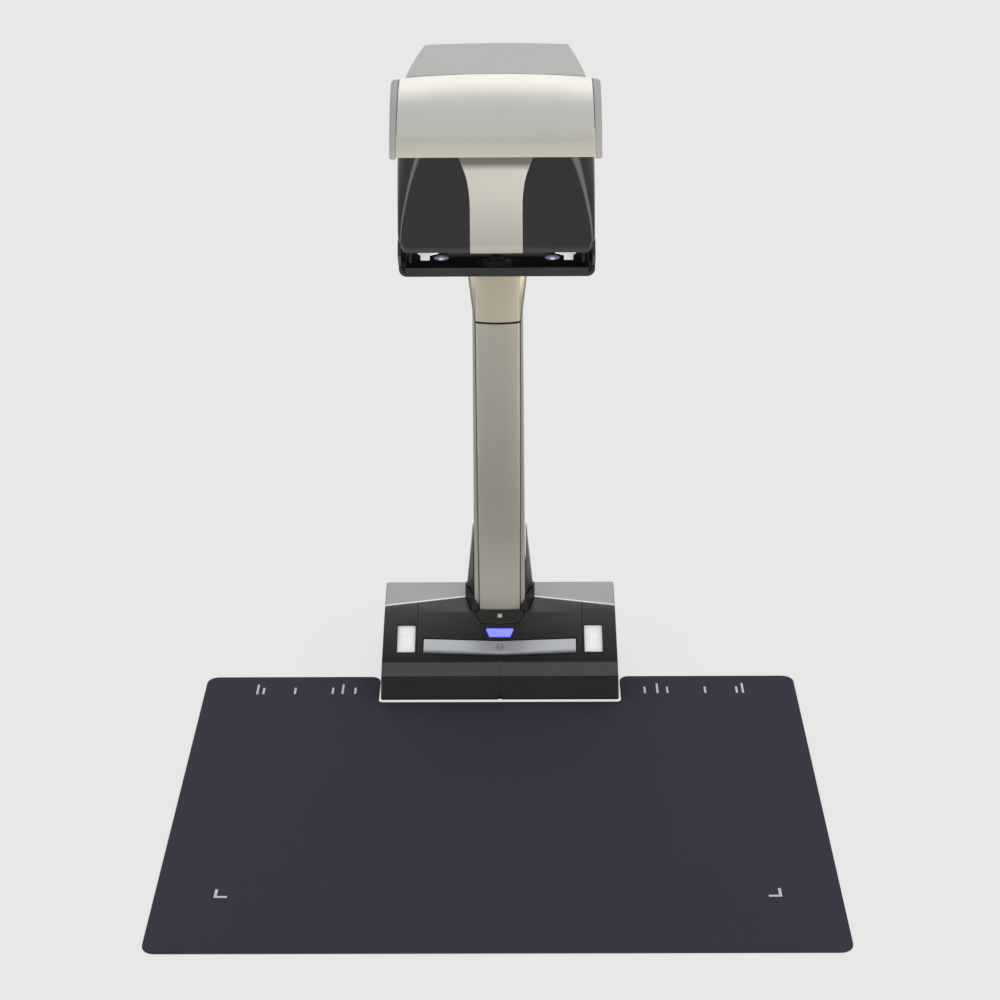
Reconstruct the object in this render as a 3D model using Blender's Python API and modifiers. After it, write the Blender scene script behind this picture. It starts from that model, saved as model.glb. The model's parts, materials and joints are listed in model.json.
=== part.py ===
"""Overhead book scanner: a weighted base, a column, an overhanging scan head and a loose background mat.

The frame is +X right, +Y back, +Z up, with the origin at the centre of the footprint, on the table.
Every size below is in millimetres; MM turns it into Blender's metres when a shape is made.
"""
import math

import bmesh
import bpy
from mathutils import Matrix, Vector

MM = 0.001
GAP = 0.3                     # clearance between pieces that touch

# Background mat
MAT_HALF_WIDTH = 262.3
MAT_FRONT = -261.0
MAT_BACK = 149.0
MAT_THICKNESS = 2.0
MAT_CORNER = 10.0
NOTCH_HALF_WIDTH = 106.8
NOTCH_FLOOR = 103.6
NOTCH_MOUTH_RADIUS = 8.5
NOTCH_INNER_RADIUS = 4.0

# Base: side profile from the front foot, over the ridge, to the rear foot
BASE_HALF_WIDTH = 105.0
BASE_DRAFT = 0.027            # inward lean of the side walls, per unit of height
BASE_FLOOR = 2.5
BASE_FRONT = 105.0
BASE_REAR = 261.0
WALL = 2.2
DECK_CREASE = Vector((168.7, 56.9))
DECK_SLOPE = 0.5
UPPER_DECK_SLOPE = 0.242
REAR_SLOPE = 0.642
RIDGE = Vector((208.0, 66.4))
BASE_PROFILE = [
    (BASE_FRONT, BASE_FLOOR), (111.0, 23.7), (119.7, 32.4), tuple(DECK_CREASE), tuple(RIDGE),
    (246.0, 42.0), (258.0, 30.0), (BASE_REAR, BASE_FLOOR),
]
CHEVRON_SIDE = 175.8          # the rear cover's front edge at the base's sides
CHEVRON_CENTRE = 188.0        # and beside the column
CHEVRON_INNER_X = 30.0
REAR_COVER_LIFT = 0.5

# Control panel, in the sloping deck
PANEL_HALF_WIDTH = 73.2
PANEL_FRONT_SIDE = 128.0
PANEL_FRONT_CENTRE = 125.2
WINDOW_X = (75.2, 91.0)
WINDOW_Y = (130.0, 157.5)
BUTTON_HALF_WIDTH = 67.6
BUTTON_VEE = 2.6
BUTTON_SECTION = [(-29.0, -7.0), (-29.0, -0.2), (-42.5, 2.3), (-43.7, 0.0), (-43.7, -7.0)]
STOP_BUTTON_RIGHT = [(0.0, -13.2), (16.4, -12.0), (22.0, -0.7), (21.3, 0.4), (18.4, 2.0)]
LED_WINDOW = [(-9.9, -27.6), (9.9, -27.6), (14.0, -16.9), (-14.0, -16.9)]
LED_RIM = 1.1                 # dark gap round the lens in its window

# Column and neck
COLUMN_FRONT = 172.0
COLUMN_REAR = 217.0
COLUMN_FOOT_Z = 52.0
FACE_FOOT_Z = 56.6
SEAM_Z = 331.0                # top of the column's front face, at its edges
SEAM_GAP = 1.8
SEAM_SAG = 1.0                # the seam dips in the middle of the front face
FLARE_Z = 341.0               # where the rear covers start to flare beside the front facets
REAR_SEAM_Z = 352.0
FACE_HALF_BOTTOM = 18.2
FACE_HALF_TOP = 18.8
COLUMN_HALF_BOTTOM = 23.0
COLUMN_HALF_TOP = 21.4
REAR_RIM = 1.2                # how far the rear cover stands out beside the front one, at least
NECK_FACET = 5.6              # how far the neck's front facets spread at its top
NECK_TOP = 381.4

# Scan head
HEAD_REAR = 257.0
ROOF_FRONT = 165.1
ROOF_HALF = (72.0, 60.0)      # half width, edge height and crest height of the roof, front and rear
ROOF_EDGE = (544.9, 548.3)
ROOF_CREST = (547.1, 549.6)
COVER_BOTTOM = Vector((107.0, 494.4))
COVER_TOP = Vector((164.0, 544.0))
COVER_BEND = math.radians(30.0)
COVER_CROWN = 3.1
COVER_HALF_BOTTOM = 78.8
COVER_HALF_TOP = 77.4
HEAD_HALF_WIDTH = 84.4
HEAD_TAPER = 6.4              # how much each side draws in towards the back
SIDE_COVER_BOTTOM = 492.8
SHOULDER_Z = 542.9            # the shelf beside the roof, at its front end
SHOULDER_SLOPE = 0.30
SHELL_TOP = 497.0
LIP_Z = 413.2
SHELL_SIDE_Z = 421.5
SHELL_HALF_WIDTH = 79.5
SHELL_FRONT = (112.8, 114.2)  # where the face stands at its lower edge and at its top
SHELL_RADIUS = (3.0, 25.0)    # its upright corners open out from bottom to top
SHELL_SIDE_REAR = 170.0
BEZEL_FRONT = 121.0
CHIN_FRONT = 146.0
CHIN_BOTTOM = 381.7
CHIN_TOP = 389.3

# Scan unit: it turns about an axis along X to sweep the page
SWEEP_AXIS_Y = 156.0
SWEEP_AXIS_Z = 410.0
AIM = math.radians(29.0)      # the lens's aim at rest, forward of straight down
DRUM_RADIUS = 15.5
DRUM_HALF_LENGTH = 44.0
EAR_X = (70.0, 72.0)
LAMP_WINDOW = [(47.6, 403.4), (47.6, 407.0), (65.2, 407.0), (65.2, 403.4), (62.7, 401.6), (62.7, 397.5),
               (55.2, 397.5), (55.2, 401.4)]
GEAR_X = (72.6, 76.4)
GEAR_MODULE = 1.0
SECTOR_TEETH = 48
PINION_TEETH = 12
GEAR_CENTRES = GEAR_MODULE * (SECTOR_TEETH + PINION_TEETH) / 2 + 0.15


# ---------------------------------------------------------------- scene and materials

def clear_scene():
    for existing in list(bpy.data.objects):
        bpy.data.objects.remove(existing, do_unlink=True)


def make_collection(name):
    collection = bpy.data.collections.new(name)
    bpy.context.scene.collection.children.link(collection)
    return collection


clear_scene()
PARTS = make_collection("book_scanner")
CUTTERS = make_collection("cutters")


def material(name, colour, roughness, metallic=0.0):
    made = bpy.data.materials.new(name)
    made.use_nodes = True
    shader = made.node_tree.nodes["Principled BSDF"]
    shader.inputs["Base Color"].default_value = (*colour, 1.0)
    shader.inputs["Roughness"].default_value = roughness
    shader.inputs["Metallic"].default_value = metallic
    made.diffuse_color = (*colour, 1.0)
    return made


SILVER = ((0.50, 0.50, 0.46), 0.38, 0.35)
BLACK = ((0.030, 0.029, 0.031), 0.5)
GLOSS_BLACK = ((0.022, 0.020, 0.019), 0.16)
STEEL = ((0.45, 0.46, 0.48), 0.35, 0.9)
BOARD = ((0.02, 0.16, 0.07), 0.5)
RUBBER = ((0.02, 0.02, 0.02), 0.85)


# ---------------------------------------------------------------- shape helpers

def add_object(name, mesh, look, collection=PARTS):
    made = bpy.data.objects.new(name, mesh)
    collection.objects.link(made)
    if look is not None:
        mesh.materials.clear()
        mesh.materials.append(material(name, *look))
    if collection is CUTTERS:
        made.hide_render = True
        made.display_type = "WIRE"
    return made


def mesh_from(bm, name):
    bmesh.ops.recalc_face_normals(bm, faces=bm.faces)
    mesh = bpy.data.meshes.new(name)
    bm.to_mesh(mesh)
    bm.free()
    return mesh


def smooth(made, degrees=35.0):
    made.data.shade_smooth()
    made.data.set_sharp_from_angle(angle=math.radians(degrees))


def bevel(made, width, segments=1, degrees=30.0):
    modifier = made.modifiers.new("edge", "BEVEL")
    modifier.width = width * MM
    modifier.segments = segments
    modifier.limit_method = "ANGLE"
    modifier.angle_limit = math.radians(degrees)
    return modifier


def box(name, low, high, look, edge=0.0, collection=PARTS):
    """A block between two corners, with its origin at its centre."""
    low, high = Vector(low) * MM, Vector(high) * MM
    bm = bmesh.new()
    bmesh.ops.create_cube(bm, size=1.0)
    bmesh.ops.scale(bm, vec=high - low, verts=bm.verts)
    made = add_object(name, mesh_from(bm, name), look, collection)
    made.location = (low + high) / 2
    if edge:
        bevel(made, edge)
    return made


AXIS_TURN = {
    "X": Matrix.Rotation(math.radians(90), 4, "Y"),
    "Y": Matrix.Rotation(math.radians(-90), 4, "X"),
    "Z": Matrix.Identity(4),
}


def cylinder(name, centre, radius, length, axis, look, sides=24, collection=PARTS, tip_radius=None):
    """A round bar centred on a point, along X, Y or Z."""
    bm = bmesh.new()
    bmesh.ops.create_cone(bm, cap_ends=True, segments=sides, radius1=radius * MM,
                          radius2=(radius if tip_radius is None else tip_radius) * MM,
                          depth=length * MM)
    made = add_object(name, mesh_from(bm, name), look, collection)
    made.matrix_world = Matrix.Translation(Vector(centre) * MM) @ AXIS_TURN[axis]
    smooth(made)
    return made


OUTLINE_PLANES = {
    "X": Matrix(((0, 0, 1, 0), (1, 0, 0, 0), (0, 1, 0, 0), (0, 0, 0, 1))),
    "Y": Matrix(((1, 0, 0, 0), (0, 0, -1, 0), (0, 1, 0, 0), (0, 0, 0, 1))),
    "Z": Matrix.Identity(4),
}


def prism(name, outline, axis, start, end, look, collection=PARTS):
    """A flat outline pushed along an axis: (y, z) along X, (x, z) along Y or (x, y) along Z."""
    curve = bpy.data.curves.new(name, "CURVE")
    curve.dimensions = "2D"
    curve.fill_mode = "BOTH"
    curve.extrude = abs(end - start) / 2 * MM
    spline = curve.splines.new("POLY")
    spline.points.add(len(outline) - 1)
    for point, (u, v) in zip(spline.points, outline):
        point.co = (u * MM, v * MM, 0.0, 1.0)
    spline.use_cyclic_u = True
    guide = bpy.data.objects.new(name + "_outline", curve)
    PARTS.objects.link(guide)
    bpy.context.view_layer.update()
    evaluated = guide.evaluated_get(bpy.context.evaluated_depsgraph_get())
    mesh = bpy.data.meshes.new_from_object(evaluated)
    mesh.name = name
    bpy.data.objects.remove(guide, do_unlink=True)
    bpy.data.curves.remove(curve)
    bm = bmesh.new()
    bm.from_mesh(mesh)
    bmesh.ops.remove_doubles(bm, verts=bm.verts, dist=0.000002)
    bmesh.ops.recalc_face_normals(bm, faces=bm.faces)
    bmesh.ops.dissolve_limit(bm, angle_limit=0.001, verts=bm.verts, edges=bm.edges)
    bm.to_mesh(mesh)
    bm.free()
    made = add_object(name, mesh, look, collection)
    middle = Vector({"X": (1, 0, 0), "Y": (0, 1, 0), "Z": (0, 0, 1)}[axis]) * (start + end) / 2 * MM
    mesh.transform(Matrix.Translation(middle) @ OUTLINE_PLANES[axis])
    return made


def rod(name, route, radius, look):
    """A round cable along a route: a curve with filled caps that are welded on."""
    curve = bpy.data.curves.new(name, "CURVE")
    curve.dimensions = "3D"
    curve.bevel_depth = radius * MM
    curve.bevel_resolution = 2
    curve.use_fill_caps = True
    spline = curve.splines.new("POLY")
    spline.points.add(len(route) - 1)
    for point, place in zip(spline.points, route):
        point.co = (*(Vector(place) * MM), 1.0)
    made = bpy.data.objects.new(name, curve)
    PARTS.objects.link(made)
    curve.materials.append(material(name, *look))
    weld = made.modifiers.new("caps", "WELD")
    weld.merge_threshold = 0.00001
    return made


def is_flat(face):
    """Whether every corner of a face lies within a hundredth of a millimetre of its plane."""
    face.normal_update()
    start = face.verts[0].co
    return all(abs((vert.co - start).dot(face.normal)) < 0.01 * MM for vert in face.verts)


def loft(name, rings, look, collection=PARTS):
    """A closed solid through rings of points that all have the same count."""
    bm = bmesh.new()
    rows = [[bm.verts.new(Vector(point) * MM) for point in ring] for ring in rings]
    count = len(rows[0])
    for lower, upper in zip(rows, rows[1:]):
        for i in range(count):
            j = (i + 1) % count
            bm.faces.new((lower[i], lower[j], upper[j], upper[i]))
    bm.faces.new(rows[0])
    bm.faces.new(rows[-1])
    bent = [face for face in bm.faces if face.calc_area() > 0 and not is_flat(face)]
    bmesh.ops.triangulate(bm, faces=bent)
    return add_object(name, mesh_from(bm, name), look, collection)


def sheet(name, rows, thickness, look, offset=-1.0):
    """A shell: an open surface over a grid of points, thickened by Solidify.

    The surface faces the side from which its rows run left to right and upwards.
    """
    bm = bmesh.new()
    verts = [[bm.verts.new(Vector(point) * MM) for point in row] for row in rows]
    for lower, upper in zip(verts, verts[1:]):
        for i in range(len(lower) - 1):
            bm.faces.new((lower[i], lower[i + 1], upper[i + 1], upper[i]))
    mesh = bpy.data.meshes.new(name)
    bm.to_mesh(mesh)
    bm.free()
    made = add_object(name, mesh, look)
    solid = made.modifiers.new("thickness", "SOLIDIFY")
    solid.thickness = thickness * MM
    solid.offset = offset
    solid.use_even_offset = True
    smooth(made)
    return made


def combine(made, tool, operation):
    modifier = made.modifiers.new(operation.lower() + "_" + tool.name, "BOOLEAN")
    modifier.operation = operation
    modifier.solver = "EXACT"
    modifier.object = tool
    return made


def cut(made, *tools):
    for tool in tools:
        combine(made, tool, "DIFFERENCE")
    return made


def add_to(made, *tools):
    for tool in tools:
        combine(made, tool, "UNION")
    return made


def inset(outline, distance):
    """The outline moved inwards by a distance; its points run anticlockwise or clockwise."""
    points = [Vector(p) for p in outline]
    area = sum(a.x * b.y - b.x * a.y for a, b in zip(points, points[1:] + points[:1]))
    side = 1.0 if area > 0 else -1.0
    moved = []
    for i, here in enumerate(points):
        before = (here - points[i - 1]).normalized()
        after = (points[(i + 1) % len(points)] - here).normalized()
        normal_before = Vector((-before.y, before.x)) * side
        normal_after = Vector((-after.y, after.x)) * side
        mitre = (normal_before + normal_after).normalized()
        moved.append(tuple(here + mitre * distance / max(0.2, mitre.dot(normal_after))))
    return moved


def corner(centre, radius, start, end, steps=5):
    """Points on an arc; the angles are in degrees."""
    turns = [math.radians(start + (end - start) * i / steps) for i in range(steps + 1)]
    return [(centre[0] + radius * math.cos(a), centre[1] + radius * math.sin(a)) for a in turns]


def mirrored(right_half):
    """A closed outline from its right half, listed from front to back."""
    left_half = [(-x, y) for x, y in reversed(right_half) if abs(x) > 1e-6]
    return right_half + left_half


def hang_on(parent, *children):
    for child in children:
        child.parent = parent


def blend(a, b, t):
    return a + (b - a) * t


# ---------------------------------------------------------------- base

def taper_sides(made):
    """Leans the side walls inwards as they rise."""
    for vertex in made.data.vertices:
        vertex.co.x -= math.copysign(BASE_DRAFT * vertex.co.z, vertex.co.x)


def chevron_y(x):
    """Where the deck meets the rear cover, in plan: straight beside the column, then swept forward."""
    out = max(0.0, (abs(x) - CHEVRON_INNER_X) / (BASE_HALF_WIDTH - CHEVRON_INNER_X))
    return blend(CHEVRON_CENTRE, CHEVRON_SIDE, out)


def chevron_line(y_shift, half_width):
    """The line where the deck meets the rear cover, in plan, from right to left."""
    return [(x, chevron_y(x) + y_shift) for x in (half_width, CHEVRON_INNER_X, -CHEVRON_INNER_X, -half_width)]


def beside_chevron(y_shift, far_y):
    """Plan outline of everything between that line and a distance in front of it or behind it."""
    wide = BASE_HALF_WIDTH + 15.0
    return [(-wide, far_y), (wide, far_y)] + chevron_line(y_shift, wide)


def hollow_base(name, profile, look):
    """The base's outer form as an open-bottomed casing."""
    casing = prism(name, profile, "X", -BASE_HALF_WIDTH, BASE_HALF_WIDTH, look)
    taper_sides(casing)
    bevel(casing, 1.4, 2, 50.0)
    inner = inset(profile, WALL)
    inner = [(inner[0][0], -10.0)] + inner + [(inner[-1][0], -10.0)]
    hollow = prism(name + "_hollow", inner, "X", WALL - BASE_HALF_WIDTH, BASE_HALF_WIDTH - WALL,
                   None, CUTTERS)
    taper_sides(hollow)
    return cut(casing, hollow)


def deck_height(y):
    """Height of the base's top: the sloping deck, the upper deck, then the fall behind the ridge."""
    if y < DECK_CREASE.x:
        return DECK_CREASE.y + DECK_SLOPE * (y - DECK_CREASE.x)
    if y < RIDGE.x:
        return DECK_CREASE.y + UPPER_DECK_SLOPE * (y - DECK_CREASE.x)
    return RIDGE.y - REAR_SLOPE * (y - RIDGE.x)


def foot_outline(grow):
    """Plan outline of the column's foot where it passes through the deck."""
    right = [(19.4, 169.7), (25.1, 169.9), (30.6, 187.0), (31.0, 206.0), (24.0, 228.0)]
    return inset(mirrored(right), -grow)


def stop_button_outline(grow):
    """The stop button in the deck's plane: it widens up the slope to the column's foot."""
    outline = mirrored(STOP_BUTTON_RIGHT)
    return inset(outline, -grow) if grow else outline


def build_front_cover():
    cover = hollow_base("base_front_cover", BASE_PROFILE, BLACK)
    behind = prism("front_cover_trim", beside_chevron(0.0, 300.0), "Z", -20, 90, None, CUTTERS)
    edge = PANEL_HALF_WIDTH + GAP
    panel_gap = [(-edge, PANEL_FRONT_SIDE - GAP), (0.0, PANEL_FRONT_CENTRE - GAP),
                 (edge, PANEL_FRONT_SIDE - GAP), (edge, 220.0), (-edge, 220.0)]
    panel_hole = prism("panel_hole", panel_gap, "Z", 20, 90, None, CUTTERS)
    cut(cover, behind, panel_hole)
    for side in (-1, 1):
        low_x, high_x = sorted((side * WINDOW_X[0], side * WINDOW_X[1]))
        window = box("window_hole_%+d" % side, (low_x, WINDOW_Y[0], 20), (high_x, WINDOW_Y[1], 90),
                     None, collection=CUTTERS)
        cut(cover, window)
    front = BASE_PROFILE[:3] + [(125.0, deck_height(125.0))]
    outer = [(104.0, -5.0), (103.0, 2.0), (109.0, 26.0), (118.0, 36.0), (125.0, 40.0)]
    inner = [(y + 0.55, z - 0.3) for y, z in front]
    inner[0] = (inner[0][0], -5.0)
    groove = prism("centre_groove", outer + list(reversed(inner)), "X", -1.6, 1.6, None, CUTTERS)
    return cut(cover, groove)


def build_rear_cover():
    lifted = [(y, z + REAR_COVER_LIFT if z > BASE_FLOOR else z) for y, z in BASE_PROFILE]
    cover = hollow_base("base_rear_cover", lifted, SILVER)
    ahead = prism("rear_cover_trim", beside_chevron(GAP + 0.1, 50.0), "Z", -20, 90, None, CUTTERS)
    foot_hole = prism("rear_foot_hole", foot_outline(0.5), "Z", 20, 90, None, CUTTERS)
    power = cylinder("power_hole", (-52, 258, 17), 5.6, 20, "Y", None, collection=CUTTERS)
    data = box("data_hole", (-26.4, 250, 10.6), (-13.6, 270, 22.4), None, collection=CUTTERS)
    lock = box("lock_slot", (56, 250, 14), (63.4, 270, 17.2), None, collection=CUTTERS)
    return cut(cover, ahead, foot_hole, power, data, lock)


def build_floor():
    plate = box("base_floor", (-102.2, 108.6, BASE_FLOOR), (102.2, 258.2, 5.0), BLACK, 0.8)
    for side, label in ((-1, "left"), (1, "right")):
        for y, place in ((124.0, "front"), (246.0, "rear")):
            foot = cylinder("rubber_foot_%s_%s" % (place, label), (side * 88.0, y, 1.1), 8.0, 2.2, "Z",
                            RUBBER, 28)
            bevel(foot, 0.6)
            screw_hole = cylinder("screw_hole_%s_%s" % (place, label), (side * 66.0, y, 3.0), 3.4,
                                  4.4, "Z", None, collection=CUTTERS)
            cut(plate, screw_hole)
            screw = cylinder("base_screw_%s_%s" % (place, label), (side * 66.0, y, 3.9), 2.8, 2.0,
                             "Z", STEEL, 20)
            recess = box("screw_cross_%s_%s" % (place, label), (side * 66.0 - 1.8, y - 0.4, 2.0),
                         (side * 66.0 + 1.8, y + 0.4, 3.9), None, collection=CUTTERS)
            cut(screw, recess)
    return plate


def build_base_inside():
    ballast = box("ballast_plate", (-88, 116, 5.4), (88, 244, 11.0), STEEL, 0.6)
    board = box("main_board", (-92, 222, 14.0), (-6, 246.0, 15.6), BOARD)
    chips = [box("board_chip_%d" % i, (x, 226, 15.0), (x + 14, 238, 18.0), None, collection=CUTTERS)
             for i, x in enumerate((-86, -62, -38))]
    add_to(board, *chips)
    return ballast


def build_sockets():
    power = cylinder("dc_inlet", (-52, 253.4, 17), 5.2, 12.0, "Y", BLACK, 28)
    ring = cylinder("dc_bore", (-52, 258.0, 17), 3.2, 14.0, "Y", None, 28, CUTTERS)
    pin = cylinder("dc_pin", (-52, 254.0, 17), 1.0, 9.0, "Y", None, 12, CUTTERS)
    cut(power, ring)
    add_to(power, pin)
    data = box("usb_socket", (-26, 247.4, 11), (-14, 259.4, 22), STEEL)
    cavity = box("usb_cavity", (-24.6, 250.0, 12.4), (-15.4, 265.0, 20.6), None, collection=CUTTERS)
    tongue = box("usb_tongue", (-22.4, 249.0, 14.8), (-17.6, 258.4, 18.0), None, collection=CUTTERS)
    cut(data, cavity)
    add_to(data, tongue)


def build_control_panel():
    deck = bpy.data.objects.new("deck_frame", None)
    PARTS.objects.link(deck)
    deck.location = Vector((0.0, DECK_CREASE.x, DECK_CREASE.y)) * MM
    deck.rotation_euler.x = math.atan(DECK_SLOPE)

    thickness = 2.6
    rear_y = CHEVRON_CENTRE + 4.0
    top = [(PANEL_FRONT_CENTRE - 6.0, deck_height(PANEL_FRONT_CENTRE - 6.0)), tuple(DECK_CREASE),
           (rear_y, deck_height(rear_y))]
    under = [(y, z - thickness) for y, z in reversed(top)]
    panel = prism("control_panel", top + under, "X", -PANEL_HALF_WIDTH, PANEL_HALF_WIDTH, BLACK)
    wide = PANEL_HALF_WIDTH + 10.0
    front_side = blend(PANEL_FRONT_CENTRE, PANEL_FRONT_SIDE, wide / PANEL_HALF_WIDTH)
    plan = [(-wide, front_side), (0.0, PANEL_FRONT_CENTRE), (wide, front_side)]
    plan += chevron_line(-GAP - 0.1, wide)
    trim = prism("panel_plan", plan, "Z", 10, 90, None, CUTTERS)
    combine(panel, trim, "INTERSECT")
    foot_hole = prism("panel_foot_hole", foot_outline(0.5), "Z", 20, 90, None, CUTTERS)

    def bar(name, grow, floor, look, collection):
        """The wide button's shape; it bends forward in the middle."""
        rings = []
        for x in (-BUTTON_HALF_WIDTH - grow, 0.0, BUTTON_HALF_WIDTH + grow):
            back = BUTTON_VEE * (1.0 - abs(x) / BUTTON_HALF_WIDTH)
            section = inset(BUTTON_SECTION, -grow) if grow else BUTTON_SECTION
            rings.append([(x, v - back, max(w, floor)) for v, w in section])
        return loft(name, rings, look, collection)

    button = bar("scan_button", 0.0, -7.0, ((0.42, 0.45, 0.50), 0.3, 0.6), PARTS)
    bevel(button, 0.35)
    button_hole = bar("scan_button_hole", 0.8, -12.0, None, CUTTERS)
    stop = prism("stop_button", stop_button_outline(0.0), "Z", -6.0, 0.5, GLOSS_BLACK)
    stop_hole = prism("stop_button_hole", stop_button_outline(0.8), "Z", -12, 8, None, CUTTERS)
    bevel(stop, 0.4)
    lens = prism("power_led_lens", inset(LED_WINDOW, LED_RIM), "Z", -2.8, -0.1, ((0.10, 0.14, 0.95), 0.3))
    lens_hole = prism("led_hole", LED_WINDOW, "Z", -12, 8, None, CUTTERS)
    circuit = box("button_board", (-62, -46, -12.0), (62, -14, -10.4), BOARD)
    switches = [box("switch_%d" % i, (x - 3, -39, -11.0), (x + 3, -33, -8.7), None, collection=CUTTERS)
                for i, x in enumerate((-40, 40))]
    add_to(circuit, *switches)
    hang_on(deck, button, button_hole, stop, stop_hole, lens, lens_hole, circuit, *switches)
    for side, label in ((-1, "left"), (1, "right")):
        low_x, high_x = sorted((side * (PANEL_HALF_WIDTH + 0.8), side * (WINDOW_X[1] + 1.6)))
        strip = box("white_reference_" + label, (low_x, -45.5, -3.9), (high_x, -9.5, -2.7),
                    ((0.85, 0.85, 0.85), 0.6))
        hang_on(deck, strip)
    cut(panel, foot_hole, button_hole, stop_hole, lens_hole)
    return stop_hole


# ---------------------------------------------------------------- column and neck

def rise_through(z, low, high):
    """How far a height is from low to high, as a share that stays between 0 and 1."""
    return min(1.0, max(0.0, (z - low) / (high - low)))


def face_half(z):
    return blend(FACE_HALF_BOTTOM, FACE_HALF_TOP, rise_through(z, COLUMN_FOOT_Z, SEAM_Z))


def facet_spread(z):
    """How far the front cover's sides splay; they open up the neck."""
    return 0.3 + NECK_FACET * rise_through(z, SEAM_Z, NECK_TOP)


def rear_half(z):
    """Half width of the rear covers: a slight taper up the column, then a flare beside the neck's facets."""
    column = blend(COLUMN_HALF_BOTTOM, COLUMN_HALF_TOP, rise_through(z, COLUMN_FOOT_Z, SEAM_Z))
    return max(column, face_half(z) + facet_spread(z) + REAR_RIM)


def front_channel(name, levels, bottom_sag, top_sag, look):
    """The front face of the column or neck: a shallow channel with its sides turned back."""
    bow, depth = 0.8, 2.9
    rows = []
    for i, z in enumerate(levels):
        half, spread = face_half(z), facet_spread(z)
        face = [(half * t, COLUMN_FRONT - bow * (1.0 - t * t)) for t in (-0.96, -0.6, -0.2, 0.2, 0.6, 0.96)]
        path = [(-half - spread, COLUMN_FRONT + depth), (-half, COLUMN_FRONT + 0.8)] + face
        path += [(half, COLUMN_FRONT + 0.8), (half + spread, COLUMN_FRONT + depth)]
        sag = bottom_sag if i == 0 else top_sag if i == len(levels) - 1 else 0.0
        rows.append([(x, y, z - sag * max(0.0, 1.0 - (x / half) ** 2)) for x, y in path])
    return sheet(name, rows, 1.6, look)


def rear_channel(name, levels, look):
    """The sides and back of the column or neck, with flanges beside the front face."""
    rings = []
    for z in levels:
        half = rear_half(z)
        flange = face_half(z) + facet_spread(z) + 0.4
        front, back, wall = COLUMN_FRONT + 3.2, COLUMN_REAR, 1.8
        outer = [(flange, front), (half - 0.6, front), (half, front + 0.9), (half, back - 7.0),
                 (half - 2.2, back - 2.0), (half - 7.5, back)]
        inner = [(half - 7.9, back - wall), (half - 3.6, back - wall - 1.4), (half - wall, back - 7.6),
                 (half - wall, front + 7.0), (flange, front + 1.8)]
        right = outer + inner
        left = [(-x, y) for x, y in right]
        ring = right[:6] + list(reversed(left[:6])) + list(reversed(left[6:])) + right[6:]
        rings.append([(x, y, z) for x, y in ring])
    made = loft(name, rings, look)
    smooth(made)
    return made


def build_column():
    front_channel("column_front_cover", (FACE_FOOT_Z, 150.0, 240.0, SEAM_Z), 0.0, SEAM_SAG, SILVER)
    rear_channel("column_rear_cover", (COLUMN_FOOT_Z, 150.0, 240.0, SEAM_Z, FLARE_Z, REAR_SEAM_Z), SILVER)
    neck_levels = [blend(SEAM_Z + SEAM_GAP, NECK_TOP, t) for t in (0.0, 0.25, 0.5, 0.75, 1.0)]
    front_channel("neck_front_cover", neck_levels, SEAM_SAG, 0.0, SILVER)
    rear_levels = [blend(REAR_SEAM_Z + GAP, NECK_TOP, t) for t in (0.0, 0.25, 0.5, 0.75, 1.0)]
    rear_channel("neck_rear_cover", rear_levels, SILVER)

    frame = box("column_frame", (-12, 181, 11.4), (12, 209, 452.6), STEEL)
    bore = box("column_frame_bore", (-10.4, 182.6, 0), (10.4, 207.4, 460), None, collection=CUTTERS)
    cut(frame, bore)

    route = [(0, 195, 16), (0, 195, 150), (0, 195, 300), (0, 195, 440), (0, 194.4, 452), (0, 192, 461),
             (0, 187, 467), (0, 180, 469.5)]
    rod("signal_cable", route, 2.5, RUBBER)


def build_foot_cover(stop_hole):
    """The black piece round the column's foot: a collar on the deck with a fin up each side."""
    plan = foot_outline(0.0)
    below = [(x, y, deck_height(y) - 2.2) for x, y in plan]
    level = [(x, y, deck_height(y) + 0.5) for x, y in plan]
    collar_top = [(19.0, 171.6, 60.2), (23.8, 175.8, 70.2), (30.4, 187.6, 73.6), (30.6, 206.0, 68.6),
                  (22.8, 226.4, 60.0)]
    fin_foot = [(18.6, 172.6, 60.0), (23.4, 176.8, 69.9), (29.6, 188.4, 73.3), (29.8, 205.6, 68.3),
                (22.0, 225.4, 59.7)]
    fin_top = [(18.6, 177.6, 126.3), (23.6, 178.4, 126.3), (24.1, 188.0, 126.3), (24.1, 207.0, 126.3),
               (19.0, 219.6, 126.3)]

    def whole(right):
        return right + [(-x, y, z) for x, y, z in reversed(right)]

    rings = [below, level, whole(collar_top), whole(fin_foot), whole(fin_top)]
    cover = loft("column_foot_cover", rings, BLACK)
    column_hole = box("foot_column_hole", (-23.4, COLUMN_FRONT + 2.8, 0), (23.4, COLUMN_REAR + 0.4, 200),
                      None, collection=CUTTERS)
    right_edge = [(18.9, 0.0), (18.9, 60.0), (23.4, 69.4), (23.4, 200.0)]
    front_slot = prism("foot_front_slot", mirrored(right_edge), "Y", 165.0, 180.0, None, CUTTERS)
    return cut(cover, column_hole, front_slot, stop_hole)


# ---------------------------------------------------------------- scan head casing

def cover_arc(steps, set_back=0.0):
    """The front cover's side profile: one arc that bulges forward and up, or a line set back behind it."""
    chord = COVER_TOP - COVER_BOTTOM
    radius = chord.length / 2 / math.sin(COVER_BEND)
    inward = Vector((chord.y, -chord.x)).normalized()
    centre = (COVER_BOTTOM + COVER_TOP) / 2 + inward * radius * math.cos(COVER_BEND)
    first = math.atan2(COVER_BOTTOM.y - centre.y, COVER_BOTTOM.x - centre.x)
    if first < 0:
        first += 2 * math.pi
    turns = [first - 2 * COVER_BEND * i / steps for i in range(steps + 1)]
    reach = radius - set_back
    return [(centre.x + reach * math.cos(a), centre.y + reach * math.sin(a)) for a in turns]


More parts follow.
